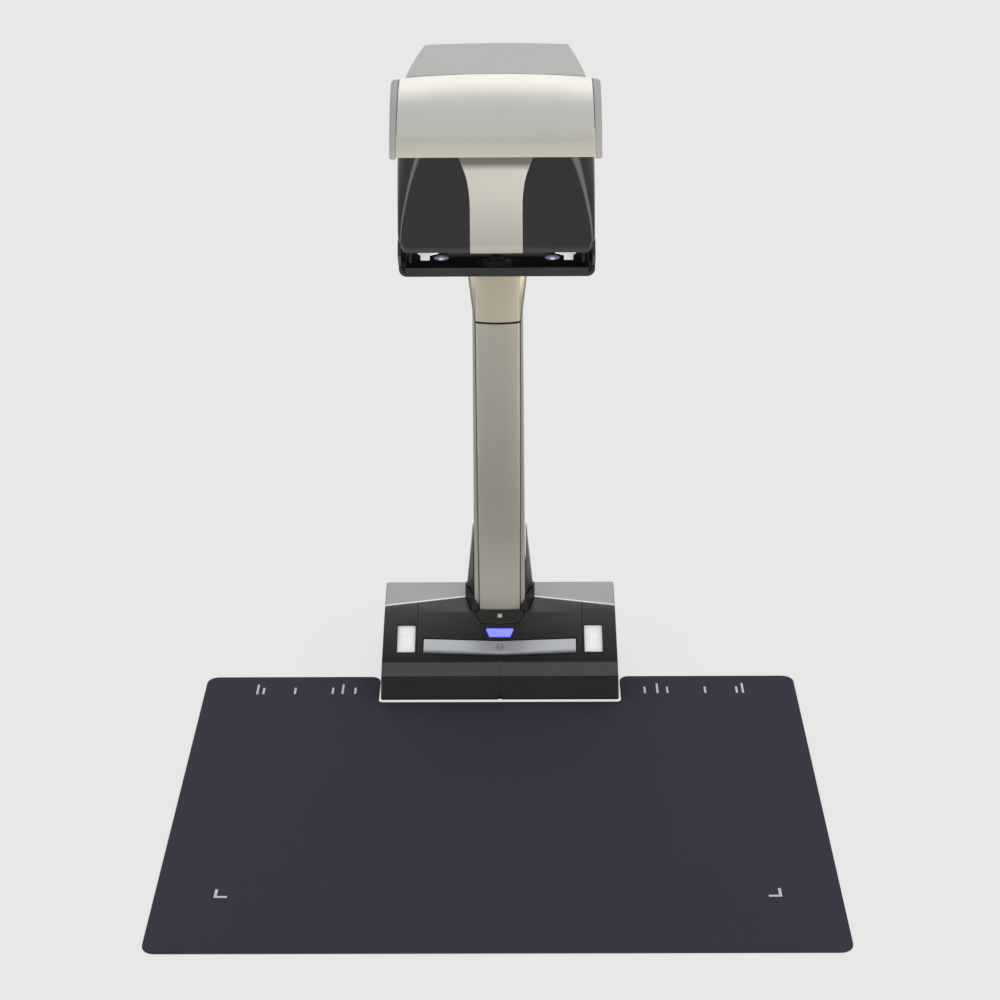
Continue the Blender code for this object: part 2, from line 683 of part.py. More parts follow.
def build_front_head_cover():
    steps = 10
    rows = []
    for i, (y, z) in enumerate(cover_arc(steps)):
        half = blend(COVER_HALF_BOTTOM, COVER_HALF_TOP, i / steps)
        crown = COVER_CROWN * (i / steps) ** 1.5
        rows.append([(half * t, y, z + crown * (1.0 - t * t))
                     for t in (-1.0, -0.8, -0.6, -0.4, -0.2, 0.0, 0.2, 0.4, 0.6, 0.8, 1.0)])
    return sheet("head_front_cover", rows, 2.0, SILVER)


def depth_share(y):
    """How far back a point on the head is, from the roof's front edge (0) to the head's rear (1)."""
    return min(1.0, max(0.0, (y - ROOF_FRONT) / (HEAD_REAR - ROOF_FRONT)))


def roof_half(y):
    return blend(*ROOF_HALF, depth_share(y) ** 1.15)


def shoulder_height(y):
    return SHOULDER_Z - SHOULDER_SLOPE * (y - COVER_TOP.x)


def side_half(y):
    return HEAD_HALF_WIDTH - HEAD_TAPER * depth_share(y) ** 1.5


def build_roof():
    """A crowned top with a skirt that comes down to the shoulders on either side."""
    rows = []
    for i in range(7):
        y = blend(ROOF_FRONT, HEAD_REAR, i / 6)
        swell = 1.0 - (1.0 - i / 6) ** 2
        edge, crest, half = blend(*ROOF_EDGE, swell), blend(*ROOF_CREST, swell), roof_half(y)
        top = [(half * t, y, blend(crest, edge, t * t)) for t in (-1.0, -0.6, -0.2, 0.2, 0.6, 1.0)]
        skirt_z = shoulder_height(y) + 0.4
        skirt_x = half + min(1.6, 0.25 * (edge - skirt_z))
        rows.append([(-skirt_x, y, skirt_z)] + top + [(skirt_x, y, skirt_z)])
    last = rows[-1]
    for back, drop in ((2.0, 1.6), (2.6, 4.2)):
        rows.append([(x, y + back, z - drop * (abs(x) <= roof_half(y) + 0.1)) for x, y, z in last])
    return sheet("head_top_cover", rows, 1.6, SILVER)


def side_cover(label, side):
    """One cheek of the head: a strip beside the front cover, a shoulder beside the roof, and a side."""
    steps, rear = 12, 256.0
    lines = []
    for drop in (0.0, 1.0, 2.9):
        arc = cover_arc(steps, 1.6 + drop)
        start = (arc[0][0] - 0.4, SIDE_COVER_BOTTOM)
        back = [(y, shoulder_height(y) - drop) for y in (165.8, 168.0, 190.0, 215.0, 236.0, rear)]
        lines.append([start] + arc + back)
    rows = []
    for j, (inner, middle, outer) in enumerate(zip(*lines)):
        strip_edge = blend(COVER_HALF_BOTTOM, COVER_HALF_TOP, min(1.0, max(0, j - 1) / steps)) + 0.5
        inner_x = strip_edge if inner[0] < 167.0 else roof_half(inner[0]) - 0.2
        row = [(inner_x, *inner), (side_half(outer[0]) - 1.9, *middle), (side_half(outer[0]), *outer)]
        first_y = lines[2][0][0]
        foot_y = blend(115.5, rear, (outer[0] - first_y) / (rear - first_y))
        for t in (0.33, 0.66, 1.0):
            y = blend(outer[0], foot_y, t)
            row.append((side_half(y), y, blend(outer[1], SIDE_COVER_BOTTOM, t)))
        row = [(side * x, y, z) for x, y, z in row]
        rows.append(row if side > 0 else list(reversed(row)))
    return sheet("head_side_cover_" + label, rows, 2.0, SILVER)


def build_rear_head_cover():
    levels = ((386.0, 78.6, 218.2), (400.0, 78.6, 223.2), (440.0, 78.6, 240.0), (487.0, 78.6, 257.6),
              (505.0, 77.4, 259.4), (514.3, 76.5, 259.5), (514.9, 59.0, 259.6), (541.8, 57.8, 259.6))
    rows = []
    for z, half, y in reversed(levels):
        rows.append([(half * t, y + 0.9 * (1.0 - t * t), z) for t in (1.0, 0.5, 0.0, -0.5, -1.0)])
    rows.reverse()
    return sheet("head_rear_cover", rows, 1.8, SILVER)


def shell_front(z):
    return blend(*SHELL_FRONT, (z - LIP_Z) / (SHELL_TOP - LIP_Z))


def shell_path(rise):
    """Plan path of the black shell at a share of its height, from its left rear edge to its right one."""
    half = SHELL_HALF_WIDTH - 0.5 * rise
    radius = blend(*SHELL_RADIUS, rise ** 1.9)
    front = blend(*SHELL_FRONT, rise)
    flat = half - radius
    right = [(half, SHELL_SIDE_REAR), (half, 150.0)] + corner((flat, front + radius), radius, 0.0, -90.0, 6)
    right += [(flat * t, front) for t in (0.95, 0.6, 0.3)]
    left = [(-x, y) for x, y in right]
    return left + list(reversed(right))


def build_shell():
    """The glossy black face; its lower edge rises round both corners."""
    rows = []
    steps = 8
    for j in range(steps + 1):
        row = []
        for x, y in shell_path(j / steps):
            turn = min(1.0, max(0.0, (abs(x) - 73.0) / 6.0))
            bottom = blend(LIP_Z, SHELL_SIDE_Z, turn ** 2)
            row.append((x, y, blend(bottom, SHELL_TOP, j / steps)))
        rows.append(row)
    return sheet("head_shell", rows, 2.0, GLOSS_BLACK)


def build_centre_strip():
    """The silver strip down the middle of the black face; it flares under the front cover."""
    rows = []
    for z, half in ((413.0, 21.3), (430.0, 21.2), (457.0, 21.2), (464.0, 21.8), (471.0, 22.7),
                    (477.5, 24.1), (484.0, 26.3), (490.0, 28.6), (496.0, 31.0)):
        front = shell_front(z) - GAP - 1.4
        rows.append([(half * t, front - 0.25 * (1.0 - t * t), z) for t in (-1.0, -0.5, 0.0, 0.5, 1.0)])
    return sheet("head_centre_strip", rows, 1.3, SILVER)


def build_bezel():
    """The tray below the shell: its front edge is the chin, and its sides rise to the shell."""
    top = SHELL_SIDE_Z - GAP - 0.2
    radius = 6.5
    half = 81.0

    def trough(width, floor, rounding, ceiling):
        right = corner((width - rounding, floor + rounding), rounding, -90.0, 0.0, 6)
        right.append((width - 1.0, ceiling))
        return mirrored(right)

    tray = prism("head_bezel", trough(half, CHIN_BOTTOM, radius, top), "Y", BEZEL_FRONT, SHELL_SIDE_REAR,
                 GLOSS_BLACK)
    inside = prism("bezel_inside", trough(half - 2.6, CHIN_BOTTOM + 2.6, radius - 2.0, top + 20.0), "Y",
                   100.0, 190.0, None, CUTTERS)
    chin = box("chin_bar", (-half + 5.0, CHIN_FRONT, CHIN_BOTTOM + 1.0),
               (half - 5.0, CHIN_FRONT + 3.0, CHIN_TOP), None, collection=CUTTERS)
    mouth = [(90.0, 360.0), (CHIN_FRONT, 360.0), (CHIN_FRONT, CHIN_TOP), (112.9, 414.4), (90.0, 414.4)]
    opening = prism("bezel_mouth", mouth, "X", -90, 90, None, CUTTERS)
    cut(tray, inside)
    add_to(tray, chin)
    return cut(tray, opening)


def build_under_cover():
    """The rear of the head's lower casing: a floor and two sides."""
    front = SHELL_SIDE_REAR + GAP
    outline = [(front, CHIN_BOTTOM), (214.6, CHIN_BOTTOM), (220.0, 398.0), (236.9, 440.0), (254.2, 486.0),
               (254.8, SIDE_COVER_BOTTOM - 1.0), (front, SIDE_COVER_BOTTOM - 1.0)]
    cover = prism("head_under_cover", outline, "X", -SHELL_HALF_WIDTH + 0.6, SHELL_HALF_WIDTH - 0.6, BLACK)
    inside = box("under_cover_inside", (-SHELL_HALF_WIDTH + 2.6, 160, CHIN_BOTTOM + 2.2),
                 (SHELL_HALF_WIDTH - 2.6, 270, 500), None, collection=CUTTERS)
    neck_hole = box("under_cover_neck_hole", (-16, 177, 370), (16, 213, 400), None, collection=CUTTERS)
    return cut(cover, inside, neck_hole)


# ---------------------------------------------------------------- scan unit

def along_aim(distance, side_x=0.0):
    """A point on the lens's axis at a distance from the sweep axis."""
    return (side_x, SWEEP_AXIS_Y - distance * math.sin(AIM), SWEEP_AXIS_Z - distance * math.cos(AIM))


def aim_cylinder(name, near, far, radius, look, sides=28, collection=PARTS):
    made = cylinder(name, (0, 0, 0), radius, far - near, "Z", look, sides, collection)
    made.matrix_world = (Matrix.Translation(Vector(along_aim((near + far) / 2)) * MM)
                         @ Matrix.Rotation(-AIM, 4, "X"))
    return made


def aim_box(name, low, high, look, collection=PARTS, edge=0.0):
    """A block in the scan unit's own frame: x across, y to its rear, z away from the page."""
    made = box(name, low, high, look, edge, collection)
    centre = Vector(((low[0] + high[0]) / 2, (low[1] + high[1]) / 2, (low[2] + high[2]) / 2)) * MM
    turn = Matrix.Rotation(-AIM, 4, "X")
    axis = Matrix.Translation(Vector((0, SWEEP_AXIS_Y, SWEEP_AXIS_Z)) * MM)
    made.matrix_world = axis @ turn @ Matrix.Translation(centre)
    return made


def involute_gear(teeth, module, backlash):
    """Outline of one spur gear, its first tooth centred on angle 0."""
    pressure = math.radians(20.0)
    pitch = teeth * module / 2
    base = pitch * math.cos(pressure)
    tip, root = pitch + 0.9 * module, pitch - 1.15 * module
    half_tooth = math.pi / (2 * teeth) - backlash / (2 * pitch)
    pitch_roll = math.tan(pressure) - pressure
    flank = []
    for i in range(4):
        radius = blend(max(base, root), tip, i / 3)
        tilt = math.acos(min(1.0, base / radius))
        flank.append((radius, half_tooth + pitch_roll - (math.tan(tilt) - tilt)))
    outline = []
    for tooth in range(teeth):
        middle = 2 * math.pi * tooth / teeth
        root_turn = flank[0][1]
        points = [(root, -root_turn)] + [(r, -a) for r, a in flank]
        points += [(r, a) for r, a in reversed(flank)] + [(root, root_turn)]
        for radius, turn in points:
            angle = middle + turn
            outline.append((radius * math.cos(angle), radius * math.sin(angle)))
    return outline


def placed_outline(outline, turn, centre):
    c, s = math.cos(turn), math.sin(turn)
    return [(centre[0] + x * c - y * s, centre[1] + x * s + y * c) for x, y in outline]


def build_gears():
    """A toothed sector on the drum's shaft and the motor's pinion above it, in mesh at rest."""
    axis = (SWEEP_AXIS_Y, SWEEP_AXIS_Z)
    whole = placed_outline(involute_gear(SECTOR_TEETH, GEAR_MODULE, 0.3), math.radians(90.0), axis)
    sector = prism("sweep_gear", whole, "X", *GEAR_X, ((0.75, 0.74, 0.68), 0.45))
    reach = 60.0
    left, right = math.radians(90 + 22), math.radians(90 - 38)
    keep = [(axis[0], axis[1] - 2.0)]
    for turn in (right, blend(right, left, 0.5), left):
        keep.append((axis[0] + reach * math.cos(turn), axis[1] + reach * math.sin(turn)))
    wedge = prism("sector_keep", keep, "X", GEAR_X[0] - 2, GEAR_X[1] + 2, None, CUTTERS)
    hub = cylinder("sector_hub", ((GEAR_X[0] + GEAR_X[1]) / 2, *axis), 7.0, GEAR_X[1] - GEAR_X[0], "X",
                   None, 28, CUTTERS)
    bore = cylinder("sector_bore", (GEAR_X[0], *axis), 3.3, 20.0, "X", None, 24, CUTTERS)
    combine(sector, wedge, "INTERSECT")
    add_to(sector, hub)
    cut(sector, bore)

    pinion_axis = (axis[0], axis[1] + GEAR_CENTRES)
    mesh_turn = math.radians(-90.0) + math.pi / PINION_TEETH
    teeth = placed_outline(involute_gear(PINION_TEETH, GEAR_MODULE, 0.3), mesh_turn, (0.0, 0.0))
    brass = ((0.8, 0.62, 0.25), 0.35, 0.9)
    pinion = prism("motor_pinion", teeth, "X", GEAR_X[0] + 0.1, GEAR_X[1] - 0.1, brass)
    pinion.location = Vector((0, *pinion_axis)) * MM
    shaft = cylinder("pinion_shaft", (71.0, 0, 0), 1.5, 10.0, "X", None, 16, CUTTERS)
    hang_on(pinion, shaft)
    add_to(pinion, shaft)
    motor = cylinder("sweep_motor", (59.6, *pinion_axis), 9.6, 20.0, "X", STEEL, 32)
    motor_bore = cylinder("motor_bore", (70.0, *pinion_axis), 2.0, 12.0, "X", None, 16, CUTTERS)
    cut(motor, motor_bore)


def build_scan_unit():
    axis = (SWEEP_AXIS_Y, SWEEP_AXIS_Z)
    drum = cylinder("scan_drum", (0, *axis), DRUM_RADIUS, 2 * DRUM_HALF_LENGTH, "X", BLACK, 40)
    lens_hole = aim_cylinder("drum_lens_hole", 2.0, 30.0, 7.4, None, 28, CUTTERS)
    flat = aim_box("drum_flat", (-60, -30, 9.0), (60, 30, 30), None, CUTTERS)
    cut(drum, lens_hole, flat)
    barrel = aim_cylinder("lens_barrel", 3.0, 17.0, 7.1, GLOSS_BLACK)
    barrel_bore = aim_cylinder("barrel_bore", 6.0, 30.0, 5.9, None, 28, CUTTERS)
    cut(barrel, barrel_bore)
    glass = aim_cylinder("lens_glass", 12.0, 14.6, 5.6, ((0.05, 0.07, 0.10), 0.05), 28)
    bevel(glass, 0.9, 2)
    aim_box("sensor_board", (-26, -9, 9.3), (26, 9, 10.9), BOARD)
    bush_length = EAR_X[1] - EAR_X[0]
    for side, label in ((-1, "left"), (1, "right")):
        low_x, high_x = sorted((side * (DRUM_HALF_LENGTH + 0.3), side * 66.5))
        housing = aim_box("lamp_housing_" + label, (low_x, -9, -8), (high_x, 9, 9), STEEL, edge=0.8)
        window = [(side * x, z) for x, z in LAMP_WINDOW]
        prism("lamp_diffuser_" + label, window, "Y", 141.0, 144.2, ((0.9, 0.92, 0.95), 0.4))
        reach = 77.0 if side > 0 else 76.0
        middle = side * (66.8 + reach) / 2
        cylinder("drum_shaft_" + label, (middle, *axis), 3.0, reach - 66.8, "X", STEEL, 24)
        bush = cylinder("shaft_bush_" + label, (side * (EAR_X[0] + EAR_X[1]) / 2, *axis), 5.7, bush_length,
                        "X", ((0.55, 0.42, 0.2), 0.4, 0.9), 28)
        bush_bore = cylinder("bush_bore_" + label, (side * 71.0, *axis), 3.3, 10.0, "X", None, 24, CUTTERS)
        cut(bush, bush_bore)
    build_gears()


def build_chassis():
    """A folded plate on top of the column's frame, with an ear for each of the scan unit's bushes."""
    plate = box("head_chassis", (-72, 124, 453.0), (72, 212, 455.0), STEEL)
    ears = []
    for side, label in ((-1, "left"), (1, "right")):
        low_x, high_x = sorted((side * EAR_X[0], side * EAR_X[1]))
        ear = prism("ear_" + label, [(140, 396), (172, 396), (184, 454), (128, 454)], "X", low_x, high_x,
                    None, CUTTERS)
        ears.append(ear)
    add_to(plate, *ears)
    axis = (SWEEP_AXIS_Y, SWEEP_AXIS_Z)
    bushes = cylinder("bush_holes", (0, *axis), 6.0, 160, "X", None, 28, CUTTERS)
    shaft_hole = cylinder("motor_shaft_hole", (71, axis[0], axis[1] + GEAR_CENTRES), 2.2, 8, "X", None, 20,
                          CUTTERS)
    cable_hole = box("cable_hole", (-5, 176, 445), (5, 200, 462), None, collection=CUTTERS)
    cut(plate, bushes, shaft_hole, cable_hole)
    circuit = box("head_board", (-55, 130, 455.4), (55, 174, 457.0), BOARD)
    chips = [box("head_chip_%d" % i, (x, 140, 456.4), (x + 16, 156, 459.4), None, collection=CUTTERS)
             for i, x in enumerate((-44, -8, 28))]
    add_to(circuit, *chips)


# ---------------------------------------------------------------- background mat

def build_mat():
    """A thin rubber mat with a notch that fits round the front of the base."""
    radius, mouth, inner = MAT_CORNER, NOTCH_MOUTH_RADIUS, NOTCH_INNER_RADIUS
    right = corner((MAT_HALF_WIDTH - radius, MAT_FRONT + radius), radius, -90.0, 0.0)
    right += corner((MAT_HALF_WIDTH - radius, MAT_BACK - radius), radius, 0.0, 90.0)
    right += corner((NOTCH_HALF_WIDTH + mouth, MAT_BACK - mouth), mouth, 90.0, 180.0)
    right += corner((NOTCH_HALF_WIDTH - inner, NOTCH_FLOOR + inner), inner, 0.0, -90.0, 3)
    mat = prism("background_mat", mirrored(right), "Z", 0.0, MAT_THICKNESS, ((0.045, 0.042, 0.062), 0.75))
    return mat


build_mat()
build_floor()
build_front_cover()
build_rear_cover()
build_base_inside()
build_sockets()
stop_button_hole = build_control_panel()
build_column()
build_foot_cover(stop_button_hole)
build_front_head_cover()
build_roof()
side_cover("left", -1)
side_cover("right", 1)
build_rear_head_cover()
build_shell()
build_centre_strip()
build_bezel()
build_under_cover()
build_chassis()
build_scan_unit()
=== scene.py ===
import json
import math

import bmesh
import bpy
from mathutils import Matrix, Vector


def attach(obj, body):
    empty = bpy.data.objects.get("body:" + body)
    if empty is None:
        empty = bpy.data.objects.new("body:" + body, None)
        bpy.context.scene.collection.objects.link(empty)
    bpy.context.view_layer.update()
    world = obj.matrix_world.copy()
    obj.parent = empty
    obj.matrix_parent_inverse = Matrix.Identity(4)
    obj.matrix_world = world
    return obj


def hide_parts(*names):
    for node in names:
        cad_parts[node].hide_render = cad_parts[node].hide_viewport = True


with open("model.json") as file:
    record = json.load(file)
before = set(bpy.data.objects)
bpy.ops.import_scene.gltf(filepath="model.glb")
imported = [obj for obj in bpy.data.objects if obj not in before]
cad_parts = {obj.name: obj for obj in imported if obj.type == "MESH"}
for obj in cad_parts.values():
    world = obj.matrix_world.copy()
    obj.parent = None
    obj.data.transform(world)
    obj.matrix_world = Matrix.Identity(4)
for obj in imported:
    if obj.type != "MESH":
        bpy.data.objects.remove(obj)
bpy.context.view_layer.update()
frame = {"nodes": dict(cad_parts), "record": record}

MM = 0.001
NODES = frame["nodes"]
BODY_OF = {node: body for body, members in frame["record"]["behaviour"]["bodies"].items()
           for node in members}

# ---------------------------------------------------------------- sizes shared with the frame, in mm

DECK_CREASE = Vector((168.7, 56.9))
DECK_SLOPE = 0.5
COVER_BOTTOM = Vector((107.0, 494.4))
COVER_TOP = Vector((164.0, 544.0))
COVER_BEND = math.radians(30.0)
COVER_CROWN = 3.1
COVER_HALF_BOTTOM = 78.8
COVER_HALF_TOP = 77.4
HEAD_HALF_WIDTH = 84.4
HEAD_TAPER = 6.4
HEAD_REAR = 257.0
ROOF_FRONT = 165.1
ROOF_HALF = (72.0, 60.0)      # half width, edge height and crest height of the roof, front and rear
ROOF_EDGE = (544.9, 548.3)
ROOF_CREST = (547.1, 549.6)
SIDE_COVER_BOTTOM = 492.8
SHOULDER_Z = 542.9
SHOULDER_SLOPE = 0.30
SHELL_TOP = 497.0
LIP_Z = 413.2
SHELL_SIDE_Z = 421.5
SHELL_HALF_WIDTH = 79.5
SHELL_FRONT = (112.8, 114.2)  # the face's front and corner radius, bottom and top
SHELL_RADIUS = (3.0, 25.0)
SHELL_SIDE_REAR = 170.0
LIP_HEIGHT = 6.2              # the rolled lower edge of the face and of its strip
LIP_TUCK = 1.2
COLUMN_FRONT = 172.0
COLUMN_FOOT_Z = 52.0
FACE_FOOT_Z = 56.6
SEAM_Z = 331.0
SEAM_GAP = 1.8
SEAM_SAG = 1.0
FACE_HALF_BOTTOM = 18.2
FACE_HALF_TOP = 18.8
NECK_FACET = 5.6
NECK_TOP = 381.4
MAT_TOP = 2.0


# ---------------------------------------------------------------- materials

def node_tree(name):
    made = bpy.data.materials.new(name)
    made.use_nodes = True
    tree = made.node_tree
    return made, tree, tree.nodes["Principled BSDF"]


def noise(tree, scale, detail=4.0, roughness=0.55, stretch=(1.0, 1.0, 1.0)):
    """A noise texture in the piece's own coordinates; scale is in features per metre."""
    place = tree.nodes.new("ShaderNodeTexCoord")
    mapping = tree.nodes.new("ShaderNodeMapping")
    mapping.inputs["Scale"].default_value = stretch
    texture = tree.nodes.new("ShaderNodeTexNoise")
    texture.inputs["Scale"].default_value = scale
    texture.inputs["Detail"].default_value = detail
    texture.inputs["Roughness"].default_value = roughness
    tree.links.new(place.outputs["Object"], mapping.inputs["Vector"])
    tree.links.new(mapping.outputs["Vector"], texture.inputs["Vector"])
    return texture.outputs["Fac"]


def remap(tree, value, low, high, start=0.3, end=0.7):
    spread = tree.nodes.new("ShaderNodeMapRange")
    spread.inputs["From Min"].default_value = start
    spread.inputs["From Max"].default_value = end
    spread.inputs["To Min"].default_value = low
    spread.inputs["To Max"].default_value = high
    tree.links.new(value, spread.inputs["Value"])
    return spread.outputs["Result"]


def mix_colour(tree, factor, first, second):
    mix = tree.nodes.new("ShaderNodeMix")
    mix.data_type = "RGBA"
    for socket, colour in ((mix.inputs[6], first), (mix.inputs[7], second)):
        if isinstance(colour, tuple):
            socket.default_value = (*colour, 1.0)
        else:
            tree.links.new(colour, socket)
    tree.links.new(factor, mix.inputs["Factor"])
    return mix.outputs[2]


def bump(tree, shader, *layers):
    """Stacked bumps; each layer is (height, strength, distance in mm)."""
    normal = None
    for height, strength, distance in layers:
        made = tree.nodes.new("ShaderNodeBump")
        made.inputs["Strength"].default_value = strength
        made.inputs["Distance"].default_value = distance * MM
        tree.links.new(height, made.inputs["Height"])
        if normal is not None:
            tree.links.new(normal, made.inputs["Normal"])
        normal = made.outputs["Normal"]
    tree.links.new(normal, shader.inputs["Normal"])


def shade(colour, factor):
    return tuple(min(1.0, c * factor) for c in colour)


def varied(tree, factor, colour, vary):
    """A colour that strays by a share either way with a texture's value."""
    share = remap(tree, factor, 0.0, 1.0)
    return mix_colour(tree, share, shade(colour, 1.0 - vary), shade(colour, 1.0 + vary))


def uneven_gloss(tree, shader, factor, rough, spread):
    tree.links.new(remap(tree, factor, rough - spread, rough + spread), shader.inputs["Roughness"])


def finish_look(name, colour, rough, metallic=0.0, clouding=(0.06, 22.0), grain=(1800.0, 0.02, 0.25),
                rough_spread=0.05, coat=0.0, coat_rough=0.05, specular=0.5):
    """Painted, moulded or machined: soft clouding in the colour, fine grain, and uneven gloss.

    clouding is (share of the colour, features per metre).
    grain is (features per metre, depth in mm, strength).
    """
    made, tree, shader = node_tree(name)
    vary, cloud = clouding
    clouds = noise(tree, cloud, 3.0)
    fine = noise(tree, grain[0], 3.0, 0.6)
    tint = varied(tree, clouds, colour, vary)
    speck = mix_colour(tree, remap(tree, fine, 0.0, 0.5), tint, shade(colour, 1.0 + 2.2 * vary))
    tree.links.new(speck, shader.inputs["Base Color"])
    uneven_gloss(tree, shader, noise(tree, cloud * 3.1, 5.0, 0.6), rough, rough_spread)
    bump(tree, shader, (fine, grain[2], grain[1]))
    shader.inputs["Metallic"].default_value = metallic
    shader.inputs["Specular IOR Level"].default_value = specular
    if coat:
        shader.inputs["Coat Weight"].default_value = coat
        shader.inputs["Coat Roughness"].default_value = coat_rough
    return made


def lit(name, colour, strength, rough=0.35):
    """A lamp window: light shows through a slightly cloudy plastic. The white reference strips use it too,
    though they are no lamp: their faint glow is painted light.
    """
    made, tree, shader = node_tree(name)
    clouds = noise(tree, 260.0, 3.0)
    tree.links.new(mix_colour(tree, remap(tree, clouds, 0.0, 1.0), shade(colour, 0.9), colour),
                   shader.inputs["Base Color"])
    tree.links.new(mix_colour(tree, remap(tree, clouds, 0.0, 1.0), shade(colour, 0.92), colour),
                   shader.inputs["Emission Color"])
    uneven_gloss(tree, shader, clouds, rough, 0.05)
    shader.inputs["Emission Strength"].default_value = strength
    return made


def brushed(name, colour, rough, along):
    """Drawn or brushed metal: fine lines along one axis."""
    stretch = tuple(0.02 if axis == along else 1.0 for axis in "XYZ")
    made, tree, shader = node_tree(name)
    lines = noise(tree, 2600.0, 4.0, 0.7, stretch)
    tree.links.new(varied(tree, lines, colour, 0.12), shader.inputs["Base Color"])
    uneven_gloss(tree, shader, noise(tree, 30.0), rough, 0.06)
    bump(tree, shader, (lines, 0.3, 0.01))
    shader.inputs["Metallic"].default_value = 1.0
    return made


GLOW_REACH = (8.0, 8.0, 3.6)


def glow_look(name):
    """A small lamp behind a dome: brightest in the middle and dark blue at its rim."""
    made, tree, shader = node_tree(name)
    rim = tree.nodes.new("ShaderNodeTexGradient")
    rim.gradient_type = "QUADRATIC_SPHERE"
    place = tree.nodes.new("ShaderNodeTexCoord")
    spread = tree.nodes.new("ShaderNodeMapping")
    spread.inputs["Scale"].default_value = [1.0 / (reach * MM) for reach in GLOW_REACH]
    tree.links.new(place.outputs["Object"], spread.inputs["Vector"])
    tree.links.new(spread.outputs["Vector"], rim.inputs["Vector"])
    clouds = noise(tree, 300.0)
    colour = mix_colour(tree, rim.outputs["Fac"], (0.012, 0.011, 0.03), (0.62, 0.66, 0.95))
    tree.links.new(colour, shader.inputs["Emission Color"])
    shader.inputs["Emission Strength"].default_value = 0.5
    shader.inputs["Base Color"].default_value = (0.01, 0.01, 0.016, 1.0)
    tree.links.new(remap(tree, clouds, 0.18, 0.26), shader.inputs["Roughness"])
    return made


def paint_light_by_height(made, stops):
    """Paints light and shade on a look by height: stops are (height in mm, factor or one for each colour),
    lowest first.
    """
    tree = made.node_tree
    socket = tree.nodes["Principled BSDF"].inputs["Base Color"]
    place = tree.nodes.new("ShaderNodeTexCoord")
    split = tree.nodes.new("ShaderNodeSeparateXYZ")
    tree.links.new(place.outputs["Object"], split.inputs["Vector"])
    low, high = stops[0][0], stops[-1][0]
    ramp = tree.nodes.new("ShaderNodeValToRGB")
    while len(ramp.color_ramp.elements) < len(stops):
        ramp.color_ramp.elements.new(0.5)
    for element, (height, factor) in zip(ramp.color_ramp.elements, stops):
        element.position = (height - low) / (high - low)
        element.color = (*factor, 1.0) if isinstance(factor, tuple) else (factor, factor, factor, 1.0)
    tree.links.new(remap(tree, split.outputs["Z"], 0.0, 1.0, low * MM, high * MM), ramp.inputs["Fac"])
    scale = tree.nodes.new("ShaderNodeVectorMath")
    scale.operation = "MULTIPLY"
    tree.links.new(socket.links[0].from_socket, scale.inputs[0])
    tree.links.new(ramp.outputs["Color"], scale.inputs[1])
    tree.links.new(scale.outputs["Vector"], socket)


def paint_edge_highlight(made, near, far, width, factor):
    """Paints a highlight on a strip behind a swept line across the base: near and far are its (|x|, y) ends
    in mm.
    """
    tree = made.node_tree
    socket = tree.nodes["Principled BSDF"].inputs["Base Color"]

    def maths(operation, first, second):
        node = tree.nodes.new("ShaderNodeMath")
        node.operation = operation
        for target, value in zip(node.inputs, (first, second)):
            if isinstance(value, float):
                target.default_value = value
            else:
                tree.links.new(value, target)
        return node.outputs["Value"]

    place = tree.nodes.new("ShaderNodeTexCoord")
    split = tree.nodes.new("ShaderNodeSeparateXYZ")
    tree.links.new(place.outputs["Object"], split.inputs["Vector"])
    out = maths("ABSOLUTE", split.outputs["X"], 0.0)
    line = remap(tree, out, near[1] * MM, far[1] * MM, near[0] * MM, far[0] * MM)
    behind = maths("SUBTRACT", split.outputs["Y"], line)
    share = remap(tree, behind, 1.0, 0.0, 0.6 * width * MM, width * MM)
    source = socket.links[0].from_socket
    scale = tree.nodes.new("ShaderNodeVectorMath")
    scale.operation = "SCALE"
    tree.links.new(source, scale.inputs[0])
    scale.inputs["Scale"].default_value = factor
    tree.links.new(mix_colour(tree, share, source, scale.outputs["Vector"]), socket)


def circuit_look(name):
    """A printed board: solder mask with lighter tracks and small gold pads."""
    made, tree, shader = node_tree(name)
    place = tree.nodes.new("ShaderNodeTexCoord")
    bricks = tree.nodes.new("ShaderNodeTexBrick")
    bricks.inputs["Scale"].default_value = 160.0
    bricks.inputs["Mortar Size"].default_value = 0.035
    bricks.inputs["Color1"].default_value = (0.010, 0.085, 0.035, 1.0)
    bricks.inputs["Color2"].default_value = (0.014, 0.105, 0.045, 1.0)
    bricks.inputs["Mortar"].default_value = (0.035, 0.19, 0.085, 1.0)
    tree.links.new(place.outputs["Object"], bricks.inputs["Vector"])
    dots = tree.nodes.new("ShaderNodeTexVoronoi")
    dots.inputs["Scale"].default_value = 330.0
    tree.links.new(place.outputs["Object"], dots.inputs["Vector"])
    pads = remap(tree, dots.outputs["Distance"], 1.0, 0.0, 0.12, 0.17)
    tree.links.new(mix_colour(tree, pads, bricks.outputs["Color"], (0.55, 0.42, 0.16)),
                   shader.inputs["Base Color"])
    tree.links.new(remap(tree, pads, 0.45, 0.25, 0.0, 1.0), shader.inputs["Roughness"])
    bump(tree, shader, (bricks.outputs["Fac"], 0.3, 0.03))
    return made


